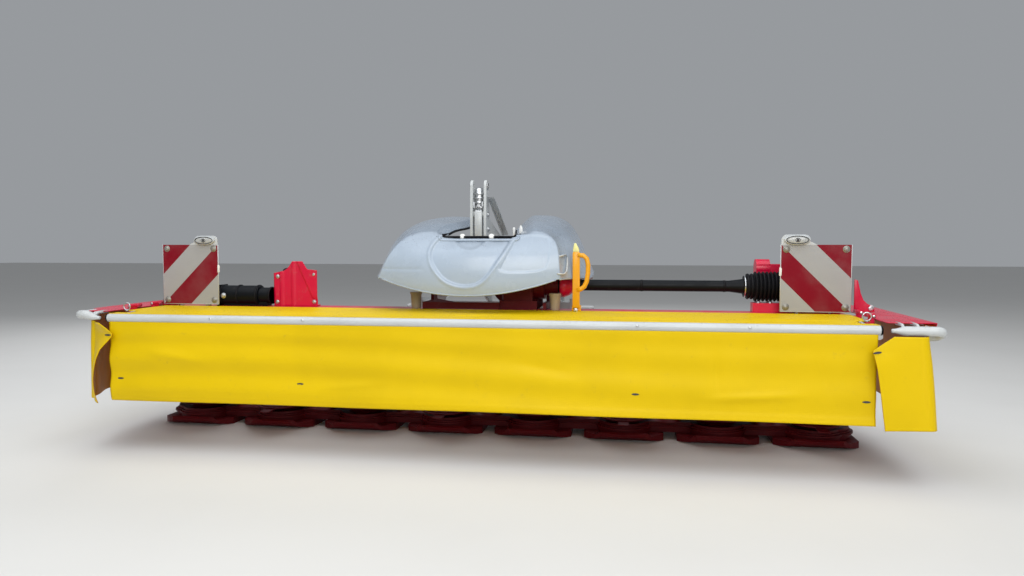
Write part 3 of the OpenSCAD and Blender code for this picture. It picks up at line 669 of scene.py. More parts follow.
# White caps, peg and fin at the notch, and the hook of grey rod beside the lever
hood_caps = []
for cap_x in (-0.066, 0.062):
    cap_place, cap_normal = on_face(cap_x, NOTCH_Z - 0.006)
    cap_place = cap_place + Vector((0, 0, 0.007))
    cap = [(-0.002, 0.013), (0.004, 0.013), (0.008, 0.011), (0.01, 0.006)]
    hood_caps.append(turned(cap, cap_place, cap_normal, 24))
joined("hood_caps", hood_caps, "white")
peg_place = on_face(0.108, 0.935)[0] + Vector((0, 0.012, 0.012))
peg = [(-0.03, 0.004), (-0.026, 0.006), (0.02, 0.006), (0.024, 0.004)]
spun("hood_peg", peg, [peg_place], Z, 16, "white")
fin = [(-0.008, -0.012), (0.008, -0.012), (0.007, 0.022), (0.002, 0.034), (-0.004, 0.034), (-0.008, 0.02)]
fin_place, _ = hit((0.166, -0.1, 1.3), (0, 0, -1))
plate("hood_fin", fin, fin_place, 0.005, "white", edge=0.0012)
HOOK = ((0.352, 0.766), (0.364, 0.762), (0.372, 0.77), (0.374, 0.8), (0.373, 0.828), (0.366, 0.842),
        (0.352, 0.84))
hook_path = [on_face(x, z, 0.009)[0] for x, z in HOOK]
hook_ends = [on_face(x, z, -0.002)[0] for x, z in ((0.345, 0.766), (0.344, 0.838))]
tube("lever_hook", [hook_ends[0]] + hook_path + [hook_ends[1]], 0.004, "grey", sides=12)


# Tarpaulin: cover, front curtain and corner curtains

def taut_dips(x, posts, depth):
    """Sag between supports, 0 at each of the posts."""
    out = np.zeros_like(x)
    for a, b in zip(posts[:-1], posts[1:]):
        t = np.clip((x - a) / (b - a), 0, 1)
        out -= depth * np.sin(pi * t) ** 2
    return out


COVER_HALF = FRAME_HALF + 0.006
COVER_BACK, COVER_FRONT = -0.148, -0.548
RING_X, RING_Y = 1.54, -0.46
RAILS = (-1.526, -0.96, -0.365, 0.365, 0.96, 1.526)


def make_cover():
    """Top sheet from under the boards to the front tube, cut out round the lock rings."""
    x, v = unit_grid(361, 61, -COVER_HALF, COVER_HALF)
    flat = abs(COVER_FRONT - COVER_BACK)
    y = COVER_BACK - flat * v
    z = DECK_Z + 0.002 + 0 * x
    z -= 0.004 * ease(-0.415, -0.53, y)
    over_tube = np.clip(TUBE_R ** 2 - (y - TUBE_Y) ** 2, 0, None) ** 0.5
    z = np.maximum(z - 0.002, np.where(over_tube > 0, TUBE_Z + over_tube + 0.0015, 0))
    free = ease(0.02, 0.1, v) * ease(1, 0.9, v)
    free = free * (1 - ease(-0.43, -0.415, y) * ease(-0.33, -0.345, y))
    z += free * taut_dips(x, RAILS, 0.003) + free * 0.0013 * ripple(3, 12, (9, 16), x, y)
    z += 0.003 * free * bump(y + 0.4, 0.012)

    def keep(j, i):
        return not (abs(x[j, i]) > RING_X - 0.034 and RING_Y - 0.03 < y[j, i] < RING_Y + 0.036)

    obj = sheet_piece("cover_cloth", x, y, z, 0.0026, "wet_tarp", keep=keep)
    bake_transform(obj)
    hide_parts("deck_cover", "guard_cover")


CURTAIN_HALF, CURTAIN_TOP, HEM_Z, CURTAIN_Y = 1.551, 0.5605, 0.2225, -0.5605
# Dents of the curtain: ends of each in x and z, width, depth towards the front
CURTAIN_FOLDS = [((0.93, 0.302), (1.3, 0.326), 0.016, 0.0065), ((0.985, 0.3), (0.975, 0.5), 0.022, -0.005),
                 ((-1.42, 0.45), (-1.1, 0.395), 0.02, 0.005), ((-0.62, 0.3), (-0.3, 0.33), 0.018, 0.005),
                 ((0.2, 0.42), (0.46, 0.38), 0.022, -0.0045), ((1.33, 0.5), (1.4, 0.3), 0.026, -0.0045)]


def curtain_y(x, z):
    """Soft level buckles, and a turned hem that stands out a little."""
    loose = ease(CURTAIN_TOP - 0.007, CURTAIN_TOP - 0.085, z)
    level = np.sin(z * 48 + 2.4 * ripple(5, 6, (1.3,), x)) * (0.55 + 0.45 * ripple(8, 5, (1,), x))
    y = CURTAIN_Y + loose * (0.0052 * level + 0.005 * ripple(4, 9, (3.6, 6), x, z))
    for a, b, width, depth in CURTAIN_FOLDS:
        t, off = along_segment(a, b, x, z)
        y = y - depth * np.sin(pi * np.clip(t * 0.9 + 0.05, 0, 1)) * bump(off, width)
    y = y - 0.0014 * ease(HEM_Z + 0.034, HEM_Z + 0.031, z)
    return y + 0.001 * bump(z - HEM_Z - 0.03, 0.0025)


def make_curtain():
    x, v = unit_grid(421, 57, -CURTAIN_HALF, CURTAIN_HALF)
    z = CURTAIN_TOP + (HEM_Z - CURTAIN_TOP) * v
    y = curtain_y(x, z)
    z = z + v * 0.003 * ripple(6, 4, (2.5,), x)
    obj = sheet_piece("curtain_cloth", x, y, z, 0.003, "tarp")
    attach(obj, "front_curtain")
    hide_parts("front_curtain")


def sewn_slot(x, y, z, tilt=0):
    """A dark lens with a raised lip."""
    verts = []
    for size, out in ((1.35, 0), (1.15, 0.0012), (0.9, 0.0006)):
        for t in circle(20):
            a, b = 0.011 * size * cos(t), 0.0032 * size * sin(t)
            verts.append((x + a * cos(tilt) - b * sin(tilt), y - out,
                          z + a * sin(tilt) + b * cos(tilt)))
    return verts, ring_faces(3, 20, open_start=True)


FLAP_Y, FLAP_TOP, SIDE_HEM = -0.582, 0.556, 0.213
SIDE_X, SIDE_BACK, CORNER_R = 1.78, 0.328, 0.034
# Each side: seed of its waves, outer corner, how far it lies back, how far its hem stands out,
# and columns of the flap's inner edge: part of the drop, x
CORNERS = {
    "right": (21, 1.726, 0, 0.036,
              ((0, 1.6), (0.09, 1.555), (0.155, 1.524), (0.2, 1.528), (0.35, 1.54), (0.6, 1.553),
               (0.85, 1.564), (1, 1.571))),
    "left": (22, 1.7, 0.08, 0.012,
             ((0, 1.588), (0.07, 1.55), (0.135, 1.518), (0.17, 1.52), (0.25, 1.545), (0.33, 1.572),
              (0.45, 1.592), (0.58, 1.604), (0.72, 1.61), (0.86, 1.607), (0.95, 1.598), (1, 1.59))),
}
# The side's top edge is higher than the flap's; the flat sheet has more length for its bends and its rear end
SIDE_RISE, BEND_LENGTH, END_LENGTH = 0.036, 0.08, 0.05


def make_corner(side, sign):
    """A pointed flap before the side tube, bent round the corner and along the side."""
    seed, corner, setback, flare_at_hem, edge = CORNERS[side]
    v = np.linspace(0, 1, 71)[:, None]
    outer = corner + flare_at_hem * v
    inner = np.minimum(np.interp(v, *zip(*edge)), outer - CORNER_R - 0.004)
    corner_y = FLAP_Y + setback + CORNER_R
    flap, bend, along = np.arange(34) / 34, 0.5 * pi * np.arange(14) / 14, np.linspace(0, 1, 60)
    x = np.hstack([inner + (outer - CORNER_R - inner) * flap, outer - CORNER_R + CORNER_R * np.sin(bend),
                   outer + (SIDE_X - outer) * ease(0, 0.25, along)])
    y = np.hstack([FLAP_Y + setback * flap ** 1.4, corner_y - CORNER_R * np.cos(bend),
                   corner_y + (SIDE_BACK - corner_y) * along]) + 0 * x
    run = np.hstack([flap, np.ones(len(bend)), 1 + along]) + 0 * x
    z = FLAP_TOP + (SIDE_HEM - FLAP_TOP) * v + 0 * x
    loose = ease(0.02, 0.3, v)
    wave = 0.0032 * loose * ripple(seed, 7, (6, 9), run * 0.3, z)
    y += (run < 1) * (wave - 0.016 * loose * (1 - run) ** 2)
    x += (run >= 1) * wave
    z += SIDE_RISE * (1 - v) * ease(1, 1.1, run)
    obj = sheet_piece("corner_cloth_" + side, x, y, z, 0.003, "tarp", sign)
    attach(obj, "side_curtain_" + side)
    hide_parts("side_curtain_" + side)


make_cover()
make_curtain()
for side, sign in SIDES:
    make_corner(side, sign)
SLOTS = ((-1.504, 0.317), (-0.688, 0.315), (0.677, 0.313), (1.518, 0.309))
joined("curtain_slots", [sewn_slot(x, float(curtain_y(x, z)) - 0.0016, z) for x, z in SLOTS], "dark_steel",
       "front_curtain")
joined("flap_slot_right", [sewn_slot(1.538, FLAP_Y - 0.018, 0.499, 0.15)], "dark_steel", "side_curtain_right")
joined("flap_slot_left", [sewn_slot(-1.532, FLAP_Y - 0.018, 0.507)], "dark_steel", "side_curtain_left")


# Side guards: sheet with rolled edges and hinge leaves, and the bumper tube that bends back

GUARD_TOP, GUARD_IN = 0.601, 1.6
# Outer edge, and where it is at the front corner
GUARD_OUT, GUARD_CORNER = 1.78, {"left": 1.712, "right": 1.78}
GUARD_FRONT, GUARD_BACK = -0.498, 0.328
# Part of the width where the outer edge turns down, and where a pressed rib runs
TURN_AT, RIB_AT = 0.86, 0.62
SIDE_HINGE_X, SIDE_HINGE_Z, HINGES_Y = 1.592, 0.61, (-0.372, -0.21)
LEAF_WIDTH, LEAF_START, LEAF_LENGTH = 0.03, 0.0403, 0.0394


def guard_sheet(side, sign):
    """Crowned sheet with its outer edge turned down."""
    u, v = unit_grid(30, 70)
    outer = GUARD_CORNER[side] + (GUARD_OUT - GUARD_CORNER[side]) * ease(0, 0.2, v)
    flat = np.minimum(u / TURN_AT, 1)
    x = GUARD_IN + (outer - 0.002 - GUARD_IN) * flat - 0.0012 * ease(0.8, 1, u)
    y = GUARD_FRONT + (GUARD_BACK - GUARD_FRONT) * v
    y += 0.05 * np.maximum(u / TURN_AT - 0.55, 0) ** 2 * (1 - v) ** 4
    z = GUARD_TOP - 0.003 + 0.0025 * np.sin(pi * flat) * np.sin(pi * v)
    z += 0.0022 * ease(0.04, 0.08, v) * ease(0.97, 0.93, v) * bump(u - RIB_AT, 0.03)
    z -= 0.0185 * np.maximum((u - TURN_AT) / (1 - TURN_AT), 0)
    obj = sheet_piece("guard_sheet_" + side, x, y, z, 0.003, "wet_red", sign)
    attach(obj, "side_guard_" + side)
    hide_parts("side_guard_" + side)


# Bumper tube of each side: outer end, radius and degrees of its bend, rise towards the bend, drop in it,
# direction and length of its straight end
GUARD_TUBES = {"left": (1.712, 0.045, 90, 0.02, 0.006, (0, 1, 0), 0.078),
               "right": (1.776, 0.027, 165, 0, 0.012, (-1, 0.2, 0), 0.018)}
TUBE_FLAT, TUBE_ROUND = 1.6, 1.65


def guard_tube(side, sign):
    """Bumper tube, flattened at its hinge end and bent back round the corner."""
    outer, radius, turn, rise, drop, back, run = GUARD_TUBES[side]
    path, radii = [], []
    for x in np.linspace(1.597, outer - radius, 16):
        path.append((sign * x, TUBE_Y - 0.0087, TUBE_Z + rise * ease(1.6, 1.7, x)))
        radii.append(TUBE_R * (0.42 + 0.58 * float(ease(TUBE_FLAT, TUBE_ROUND, x))))
    base = Vector(path[-1])
    for t in np.radians(np.linspace(8, turn, 18)):
        sunk = 1 - cos(t)
        path.append((base.x + sign * radius * sin(t), base.y + radius * sunk, base.z - drop * sunk))
    last = Vector(path[-1])
    path += [last + Vector(back) * run * step for step in np.linspace(0.1, 1, 6)]
    radii += [TUBE_R] * (len(path) - len(radii))
    path.append(last + Vector(back) * (run + 0.005))
    tube("guard_tube_" + side, path, radii + [0.014], "grey", "side_guard_" + side, 24)


def hinge_set(side, sign):
    """Leaves, knuckles and pin ends of the hinges, and the bumper tube's arms."""
    body = "side_guard_" + side
    centres = [(sign * SIDE_HINGE_X, y, SIDE_HINGE_Z) for y in HINGES_Y]
    knuckle = [(LEAF_START, 0.009), (LEAF_START, 0.009), (LEAF_START + LEAF_LENGTH, 0.009)]
    pin = [(-0.004, 0.0045), (-0.003, 0.0062), (0.0002, 0.0062)]
    spun("guard_hinges_" + side, knuckle, centres, Y, 28, "wet_red", body)
    spun("hinge_pins_" + side, pin, centres, Y, 20, "zinc")
    leaf = [(0, 0), (LEAF_WIDTH, 0), (LEAF_WIDTH, LEAF_LENGTH), (0, LEAF_LENGTH)]
    leaf_x = SIDE_HINGE_X if sign > 0 else -SIDE_HINGE_X - LEAF_WIDTH
    for number, y in enumerate(HINGES_Y):
        plate("hinge_leaf_%s_%d" % (side, number), leaf, (leaf_x, y + LEAF_START, SIDE_HINGE_Z - 0.0088),
              -0.003, "wet_red", body, 0.0008, Y)
    arms = []
    for x in (1.642, 1.694 if sign > 0 else 1.632):
        path = [(TUBE_Y - 0.004, 0.58), (TUBE_Y + 0.02, 0.594), (GUARD_FRONT + 0.03, 0.5955)]
        arms.append(tube_mesh([(sign * x, y, z) for y, z in path], 0.006, 12))
    joined("guard_arms_" + side, arms, "grey", body)


for side, sign in SIDES:
    guard_sheet(side, sign)
    guard_tube(side, sign)
    hinge_set(side, sign)


def board_trim(side, sign):
    """A warning board's bolts and nuts, the strip round three edges and a clip."""
    middle_z = BOARD_FOOT + BOARD / 2
    places = [(sign * (BOARD_X + a), middle_z + b) for a in (-0.12, 0.12) for b in (-0.122, 0.122)]
    fasteners("board_bolts_" + side, dome_bolt, [(x, BOARD_Y, z) for x, z in places], TO_FRONT, 0.03, "dull")
    fasteners("board_nuts_" + side, hex_bolt, [(x, BOARD_Y + 0.0045, z) for x, z in places], Y, 0.016)
    half = BOARD / 2 + 0.0008
    path = [(sign * BOARD_X + a, BOARD_Y + 0.002, middle_z + b)
            for a, b in ((-half, half), (-half, -half), (half, -half), (half, half))]
    joined("board_edge_" + side, [tube_mesh(path[i:i + 2], 0.0022, 8) for i in range(3)], "grey")
    clip = [(-0.005, 0), (0.005, 0), (0.006, 0.03), (0.003, 0.036), (-0.004, 0.036)]
    clip_place = (sign * (BOARD_X - BOARD / 2 - 0.002), BOARD_Y - 0.001, BOARD_FOOT + 0.15)
    plate("board_clip_" + side, clip, clip_place, -0.006, "white")


def oval(centre, half_x, half_z, out, angles):
    """Points of an oval, out metres before the centre."""
    x, y, z = centre
    return [(x + half_x * cos(t), y - out, z + half_z * sin(t)) for t in angles]


def oval_rings(centre, rings, sides=48):
    """Verts and faces of ovals (half width, half height, out), one inside the other."""
    verts = [point for ring in rings for point in oval(centre, *ring, circle(sides))]
    return verts, ring_faces(len(rings), sides, open_start=True)


def lamp(side, sign):
    """A rimmed housing, a domed lens and dark rings round it and in its middle."""
    centre = x, y, z = sign * (BOARD_X - BOARD / 2 + 0.063), BOARD_Y - 0.0003, BOARD_FOOT + BOARD + 0.02
    housing = [(0.052, 0.021, 0), (0.052, 0.021, 0.01), (0.05, 0.0195, 0.013), (0.0455, 0.0165, 0.0135),
               (0.045, 0.016, 0.0115)]
    obj = joined("lamp_housing_" + side, [oval_rings(centre, housing)], "grey")
    dome = [(0.0445 * cos(t), 0.0158 * cos(t), 0.0105 + 0.0062 * sin(t))
            for t in np.radians([0, 15, 30, 45, 60, 75, 86])]
    joined("lamp_lens_" + side, [oval_rings(centre, dome)], "lens")
    eye = [tube_mesh(oval(centre, a, b, out, np.linspace(0, 2 * pi, 33)), wire, 6)
           for a, b, out, wire in ((0.0452, 0.0165, 0.0135, 0.0017), (0.01, 0.0075, 0.0165, 0.0012))]
    eye.append(turned([(0, 0.006), (0.0012, 0.0052)], (x, y - 0.0164, z), TO_FRONT, 24))
    joined("lamp_eye_" + side, eye, "dark_steel")
    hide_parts("lamp_" + side)


for side, sign in SIDES:
    board_trim(side, sign)
    lamp(side, sign)


# Front tube: end caps, clamps under it, the rivets of the curtain's strip and the lock rings' bases

cap = [(-0.002, 0.0184), (0.003, 0.0184), (0.0055, 0.0165), (0.0065, 0.012)]
tube_ends = [turned(cap, (sign * 1.562, TUBE_Y, TUBE_Z), (sign, 0, 0), 32) for _, sign in SIDES]
joined("tube_caps", tube_ends, "black", "front_guard")
clamp = [(-0.045, 0.012), (-0.045, -0.004), (-0.036, -0.01), (0.036, -0.01), (0.045, -0.004),
         (0.045, 0.012)]
for number, x in enumerate((-1.497, -0.277, 0.277, 1.524)):
    plate("tube_clamp_%d" % number, clamp, (x, TUBE_Y - 0.006, TUBE_Z - 0.025), -0.003, "grey",
                  "front_guard", 0.001)
rivets = [(x, TUBE_Y - 0.0176, TUBE_Z + 0.004) for x in (-1.081, -0.672, 0.681, 1.097)]
fasteners("tube_rivets", dome_bolt, rivets, (0, -1, 0.22), 0.011, body="front_guard")
ring_base = [(0, 0.0095), (0.002, 0.0095), (0.003, 0.008)]
ring_bases = [turned(ring_base, (sign * RING_X, RING_Y, DECK_Z + 0.0052), Z, 24) for _, sign in SIDES]
joined("ring_bases", ring_bases, "zinc", "front_guard")


# Suspension springs: coils and the rods through them

SPRING_Y, SPRING_Z, SPRING_R, WIRE_R = 0.04, 0.724, 0.0285, 0.0045
COIL_START, COIL_END, COIL_TURNS, COIL_STEPS = 0.2895, 0.42, 8, 26


def coil_path(sign):
    """A helix along X, outwards."""
    part = np.linspace(0, 1, COIL_TURNS * COIL_STEPS + 1)
    turn = 2 * pi * COIL_TURNS * part
    x = sign * (COIL_START + (COIL_END - COIL_START) * part)
    return np.stack([x, SPRING_Y + SPRING_R * np.sin(turn), SPRING_Z + SPRING_R * np.cos(turn)], 1)


springs = joined("spring_coils", [tube_mesh(coil_path(sign), WIRE_R, 10) for _, sign in SIDES], "zinc")
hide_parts("float_springs")
rod = [(0, 0.005), (0, 0.0085), (0.15, 0.0085), (0.156, 0.006)]
rods = [turned(rod, (sign * 0.272, SPRING_Y, SPRING_Z), (sign, 0, 0), 20) for _, sign in SIDES]
joined("spring_rods", rods, "zinc")


# Transverse drive: bellows, bands and the gearboxes' bolts

BELLOWS_X, BELLOWS_END = 1.146, 1.3117
DRIVE_Y, DRIVE_Z = -0.045, 0.706


def drive_ring(x, width, radius, height, sides):
    return band(width, radius, height, (x, DRIVE_Y, DRIVE_Z), X, sides)


def bellows_profile(folds=9, per_fold=10):
    """Rounded folds between two plain collars, the first two lower."""
    length = BELLOWS_END - BELLOWS_X
    step = (length - 0.018) / folds
    out = [(0, 0.036), (0, 0.047), (0.008, 0.047)]
    for k in range(folds):
        high = 0.057 if k < 2 else 0.066
        for m in range(per_fold):
            t = m / per_fold
            out.append((0.009 + step * (k + t), 0.049 + (high - 0.049) * sin(pi * t) ** 0.7))
    return out + [(length - 0.009, 0.05), (length - 0.0005, 0.05), (length - 0.0005, 0.036)]


bellows = spun("bellows", bellows_profile(), [(BELLOWS_X, DRIVE_Y, DRIVE_Z)], X, 56, "rubber")
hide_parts("drive_bellows")
joined("bellows_bands", [drive_ring(BELLOWS_X + 0.0015, 0.006, 0.0475, 0.001, 48),
                         drive_ring(BELLOWS_END - 0.0085, 0.007, 0.0505, 0.001, 48)], "zinc")
joined("shaft_guard_bands", [drive_ring(x, 0.01, 0.025, 0.0012, 40) for x in (0.372, 0.7, 1.06)], "rubber")


def bolt_circle(centre, axis, radius, count, start=0):
    axis, side, other = round_axis(axis)
    return [Vector(centre) + (side * cos(start + t) + other * sin(start + t)) * radius
            for t in circle(count)]


GEAR_X, DISC8_X, CARRIER_X = 1.312, 1.47, 1.5562
flange_bolts = bolt_circle((GEAR_X - 0.0002, DRIVE_Y, DRIVE_Z), (-1, 0, 0), 0.086, 8, 0.39)
fasteners("gearbox_flange_bolts", hex_bolt, flange_bolts, (-1, 0, 0), 0.015)
top_bolts = bolt_circle((DISC8_X, 0.07, 0.766), Z, 0.06, 6)
fasteners("gearbox_top_bolts", hex_bolt, top_bolts, Z, 0.017)
foot_bolts = [(x, y, 0.6363) for x in (1.205, 1.255) for y in (-0.075, -0.045)]
fasteners("gearbox_foot_bolts", hex_bolt, foot_bolts, Z, 0.019)
for name, sign in (("carrier_bolts", -1), ("carrier_bolts_right", 1)):
    places = [(sign * CARRIER_X, y, z) for y in (-0.12, -0.05) for z in (0.516, 0.576)]
    fasteners(name, hex_bolt, places, (sign, 0, 0), 0.02)


# Mast: ribbed block, clip and pin bushes between the two plates

MAST_HALF, MAST_Y, TOP_Z = 0.038, -0.004, 1.162
rib = [(-0.006, 0.0215), (-0.004, 0.0235), (0.003, 0.0235), (0.005, 0.0215)]
block = [turned(rib, (HOOD_X, MAST_Y, TOP_Z - 0.036 - 0.02 * k), Z, 28) for k in range(4)]
stem = [(-0.066, 0.01), (-0.062, 0.019), (0.048, 0.019), (0.054, 0.012)]
block.append(turned(stem, (HOOD_X, MAST_Y, TOP_Z - 0.062), Z, 28))
joined("mast_block", block, "zinc")
clip = [(-0.02, 0.03), (-0.019, 0.004), (-0.014, 0), (-0.009, 0.006), (0, 0.016), (0.009, 0.006),
        (0.014, 0), (0.019, 0.004), (0.02, 0.03)]
tube("mast_clip", [(HOOD_X + a, -0.034, TOP_Z - 0.104 + b) for a, b in clip], 0.0026, "zinc", sides=10)
bush = [(0, 0.0128), (0, 0.0185), (0.003, 0.0185), (0.004, 0.017), (0.004, 0.0128)]
bushes = [turned(bush, (HOOD_X + sign * MAST_HALF, 0, TOP_Z), (sign, 0, 0), 36, is_open=True)
          for _, sign in SIDES]
joined("mast_bushes", bushes, "zinc")
channel = [(-0.017, -0.03), (-0.017, 0.012), (-0.011, 0.012), (-0.011, -0.022), (0.011, -0.022),
           (0.011, 0.012), (0.017, 0.012), (0.017, -0.03)]
plate("mast_channel", channel, (HOOD_X, MAST_Y, 0.925), 0.118, "grey", up=Y)
for name, sign in (("mast_bolts", 1), ("mast_bolts_left", -1)):
    bolt_x = HOOD_X + sign * (MAST_HALF + 0.0002)
    fasteners(name, hex_bolt, [(bolt_x, 0.01, 1.03), (bolt_x, 0.014, 0.962)], (sign, 0, 0), 0.02)


# Headstock: weld beads, rims round the lower pins and the pins' tips

HITCH_HALF, HITCH_Y, HITCH_Z = 0.412, 0.532, 0.552
# Corners of the weld round a cheek plate, in y and z
WELD = ((0.404, 0.513), (0.404, 0.591), (0.48, 0.591), (0.48, 0.513), (0.404, 0.513))


def bead(path, radius=0.003):
    """A tube whose radius ripples along its path."""
    fine = []
    for a, b in zip(path[:-1], path[1:]):
        a, b = Vector(a), Vector(b)
        steps = max(int((b - a).length / 0.004), 2)
        fine += [a.lerp(b, k / steps) for k in range(steps)]
    fine.append(Vector(path[-1]))
    radii = [radius * (1 + 0.22 * sin(1.9 * k)) for k in range(len(fine))]
    return tube_mesh(fine, radii, 8)


welds, tips = [], []
for _, sign in SIDES:
    cheek_x, pin_x = HOOD_X + sign * (HITCH_HALF - 0.02), HOOD_X + sign * (HITCH_HALF + 0.0005)
    welds.append(bead([(cheek_x, y, z) for y, z in WELD]))
    rim = [(pin_x, HITCH_Y + 0.015 * cos(t), HITCH_Z + 0.015 * sin(t))
           for t in np.linspace(0, 2 * pi, 33)]
    welds.append(tube_mesh(rim, 0.0028, 8))
    tips.append(turned([(0, 0.0138), (0.003, 0.0128), (0.0045, 0.009)],
                       (HOOD_X + sign * (HITCH_HALF + 0.095), HITCH_Y, HITCH_Z), (sign, 0, 0), 28))
joined("headstock_welds", welds, "grey")
joined("hitch_pin_tips", tips, "zinc")


# Blade lever with its pale tip, grip and holder

LEVER_X, LEVER_Y = 0.42, -0.174
tip = [(-0.014, 0), (0.013, 0), (0.012, 0.012), (-0.001, 0.038), (-0.009, 0.038), (-0.014, 0.012)]
plate("lever_tip", tip, (LEVER_X, LEVER_Y - 0.001, 0.858), -0.009, "pale")
bar = [(-0.016, 0.612), (0.016, 0.612), (0.016, 0.85), (0.013, 0.859), (-0.014, 0.859), (-0.016, 0.85)]
lever = plate("lever_bar", bar, (LEVER_X, LEVER_Y, 0), -0.01, "orange", edge=0.002)
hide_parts("blade_lever")
grip = [(0.006, 0.843), (0.03, 0.842), (0.046, 0.828), (0.052, 0.8), (0.051, 0.765), (0.046, 0.728),
        (0.036, 0.706), (0.02, 0.694), (0.004, 0.69)]
tube("lever_grip", [(LEVER_X + x, LEVER_Y + 0.005, z) for x, z in grip], 0.0105, "orange")
holder = [(-0.02, 0.586), (0.02, 0.586), (0.02, 0.622), (-0.02, 0.622)]
plate("lever_holder", holder, (LEVER_X, LEVER_Y + 0.018, 0), -0.034, "orange", edge=0.002)
fasteners("lever_bolts", hex_bolt, [(LEVER_X, LEVER_Y - 0.0162, 0.604)], TO_FRONT, 0.014)

# Bell of the middle gearbox, round the start of the shaft's guard tube
bell = [(0, 0.026), (0, 0.052), (0.018, 0.052), (0.04, 0.044), (0.056, 0.033), (0.06, 0.026)]
spun("gearbox_bell", bell, [(0.34, DRIVE_Y, DRIVE_Z - 0.004)], X, 44, "wet_red")


# Storage tube: end plate bolt, a bolt in front and rubber rings

STORE_X, STORE_Y, STORE_Z = -1.3, -0.084, 0.646
STORE_R, STORE_THIN_R = 0.0468, 0.0378
fasteners("storage_bolt", hex_bolt, [(STORE_X - 0.0042, STORE_Y, STORE_Z)], (-1, 0, 0), 0.03)
fasteners("storage_bolt_front", hex_bolt, [(STORE_X + 0.03, STORE_Y - 0.0472, STORE_Z)], TO_FRONT, 0.022)
store_rings = []
for along, r in ((0.006, STORE_R), (0.09, STORE_R), (0.186, STORE_R), (0.25, STORE_THIN_R)):
    ring = [(0, r), (0.001, r + 0.004), (0.008, r + 0.004), (0.009, r)]
    store_rings.append(turned(ring, (STORE_X + along, STORE_Y, STORE_Z), X, 44))
joined("storage_rings", store_rings, "rubber")


# Folded sheet: pressed creases, corner bolts, a ball behind its shoulder

SHEET_X, SHEET_WIDTH, SHEET_FOLDS = STORE_X + 0.272, 0.216, (0.03, 0.088)
# Top edge, across and up
SHEET_TOP = ((0, 0.158), (0.045, 0.168), (0.063, 0.178), (0.093, 0.214), (0.143, 0.214), (0.168, 0.176),
             (0.216, 0.172))


def folded_sheet():
    """Peaked sheet with two upright folds and a slanting crease."""
    u, v = unit_grid(61, 61)
    x = SHEET_WIDTH * u
    z = np.interp(x, *zip(*SHEET_TOP)) * v
    out = 0.006 * ease(-0.004, 0.004, x - 0.12 - 0.45 * (0.2 - z)) * ease(0.02, 0.05, z)
    for fold in SHEET_FOLDS:
        out += 0.005 * ease(fold - 0.004, fold + 0.002, x) * ease(fold + 0.018, fold + 0.012, x)
    y = STORE_Y - 0.0015 - out
    x = SHEET_X + x - 0.004 * (u == 0)
    obj = sheet_piece("cover_plate_sheet", x, y, DECK_Z + 0.0005 + z, 0.0028, "wet_red", offset=1)
    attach(obj, "mower")
    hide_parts("cover_plate")


folded_sheet()
foot = [(0.008, 0), (0.208, 0), (0.208, 0.05), (0.008, 0.05)]
plate("cover_plate_foot", foot, (SHEET_X, STORE_Y, DECK_Z + 0.0006), 0.005, "red", edge=0.001, up=Y)
corner_places = [(SHEET_X + x, STORE_Y - 0.0075, DECK_Z + z)
                 for x, z in ((0.014, 0.02), (0.2, 0.022), (0.018, 0.142), (0.2, 0.152))]
fasteners("cover_plate_bolts", hex_bolt, corner_places, TO_FRONT, 0.015)
BALL_X, BALL_Y, BALL_R = SHEET_X + 0.046, STORE_Y + 0.034, 0.024
ball = [(BALL_R * sin(t), BALL_R * cos(t)) for t in np.linspace(-1.45, 1.45, 15)]
ball_parts = [turned(ball, (BALL_X, BALL_Y, DECK_Z + 0.158), Z, 28),
              turned([(0, 0.01), (0.14, 0.01)], (BALL_X, BALL_Y, DECK_Z + 0.003), Z, 16)]
joined("cover_plate_ball", ball_parts, "black")


# Red brackets beside the boards: a low one on the frame's left end, a tall one on the right side guard

BRACKET = [(0, 0), (0.084, 0), (0.082, 0.012), (0.07, 0.026), (0.052, 0.036), (0.038, 0.05),
           (0.026, 0.08), (0.019, 0.112), (0.014, 0.134), (0, 0.138)]
low_bracket = [(-a, b * 0.45) for a, b in reversed(BRACKET)]
BRACKET_BOLT = 0.068
for side, sign, outline, x, y, foot_z, body in (
        ("left", -1, low_bracket, -1.512, -0.118, DECK_Z + 0.0008, "mower"),
        ("right", 1, BRACKET, 1.598, -0.08, GUARD_TOP + 0.0025, "side_guard_right")):
    plate("end_bracket_" + side, outline, (x, y, foot_z), 0.006, "wet_red", body, 0.0012)
    bolt_place = (x + sign * BRACKET_BOLT, y - 0.0002, GUARD_TOP + 0.017)
    fasteners("end_bracket_bolt_" + side, hex_bolt, [bolt_place], TO_FRONT, 0.024, body=body)
# Flat dark discs stand in for the bracket's two holes: painted shade.
hole = [(0, 0.005), (0.0008, 0.005)]
holes = [turned(hole, (1.607, -0.0802, GUARD_TOP + up), TO_FRONT, 20) for up in (0.09, 0.118)]
joined("end_bracket_holes", holes, "dark_steel", "side_guard_right")


# Floor, lights and camera

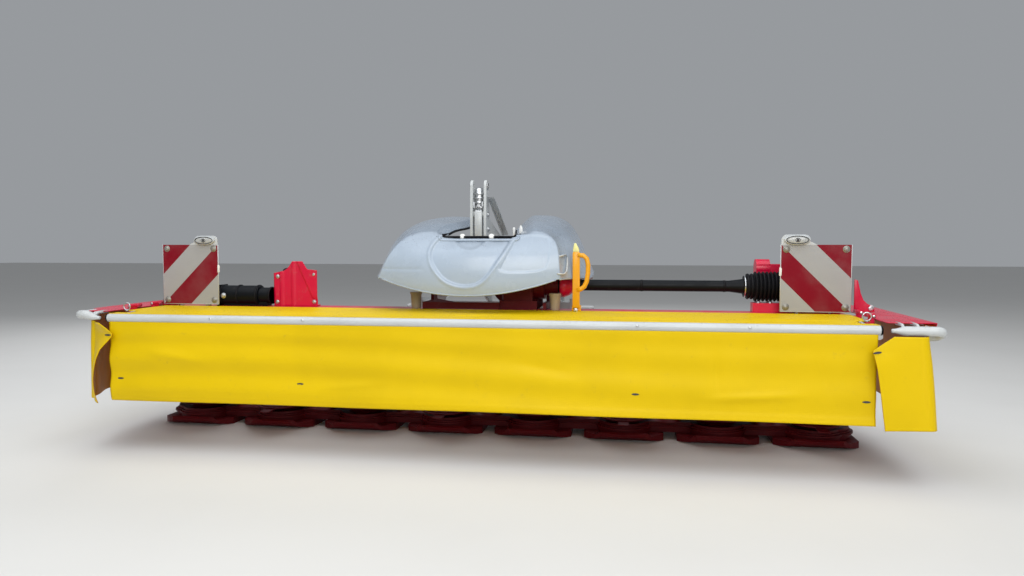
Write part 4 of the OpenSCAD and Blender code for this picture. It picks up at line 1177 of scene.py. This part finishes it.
def area_light(name, place, target, size, power, tone, mirrored=True):
    data = bpy.data.lights.new(name, "AREA")
    data.shape = "RECTANGLE"
    data.size, data.size_y = size
    data.energy, data.color = power, tone
    obj = bpy.data.objects.new(name, data)
    bpy.context.collection.objects.link(obj)
    obj.visible_glossy = mirrored
    obj.location = place
    obj.rotation_euler = (Vector(target) - Vector(place)).to_track_quat("-Z", "Y").to_euler()


def floor(far=30):
    mesh = bpy.data.meshes.new("floor")
    mesh.from_pydata([(-far, -far, 0), (far, -far, 0), (far, far, 0), (-far, far, 0)], [], [(0, 1, 2, 3)])
    s = Shader("floor_paint", (0.62, 0.61, 0.59), 0.8)
    s.tint(s.ramp(s.noise(1.5, 3), 0.4, 0.7, 0.1), (0.52, 0.51, 0.49))
    mesh.materials.append(s.done())
    obj = bpy.data.objects.new("floor", mesh)
    bpy.context.collection.objects.link(obj)


floor()
area_light("sky", (0, -1.5, 5), (0, 0, 0), (8, 6), 300, (0.94, 0.97, 1))
area_light("front", (1.5, -6.5, 3.2), (0, 0, 0.5), (6, 3), 270, (1, 0.99, 0.97))
area_light("back", (-2, 5, 3.5), (0, 0, 0.6), (5, 3), 170, (0.95, 0.97, 1), mirrored=False)
world = bpy.data.worlds.new("studio")
world.use_nodes = True
background = world.node_tree.nodes["Background"].inputs
background["Color"].default_value = (0.86, 0.9, 0.95, 1)
background["Strength"].default_value = 0.36
bpy.context.scene.world = world
bpy.context.scene.view_settings.view_transform = "Standard"

# Where the photograph was taken from: place in metres, tilt down and turn to the left in degrees
CAMERA_AT, CAMERA_TILT, CAMERA_TURN, CAMERA_LENS = (0.6469, -3.4623, 0.888), 3.283, 8.835, 26.38
camera_data = bpy.data.cameras.new("camera")
camera_data.sensor_width = 36
camera_data.lens = CAMERA_LENS
camera = bpy.data.objects.new("camera", camera_data)
bpy.context.collection.objects.link(camera)
camera.location = CAMERA_AT
camera.rotation_euler = (radians(90 - CAMERA_TILT), 0, radians(CAMERA_TURN))
bpy.context.scene.camera = camera
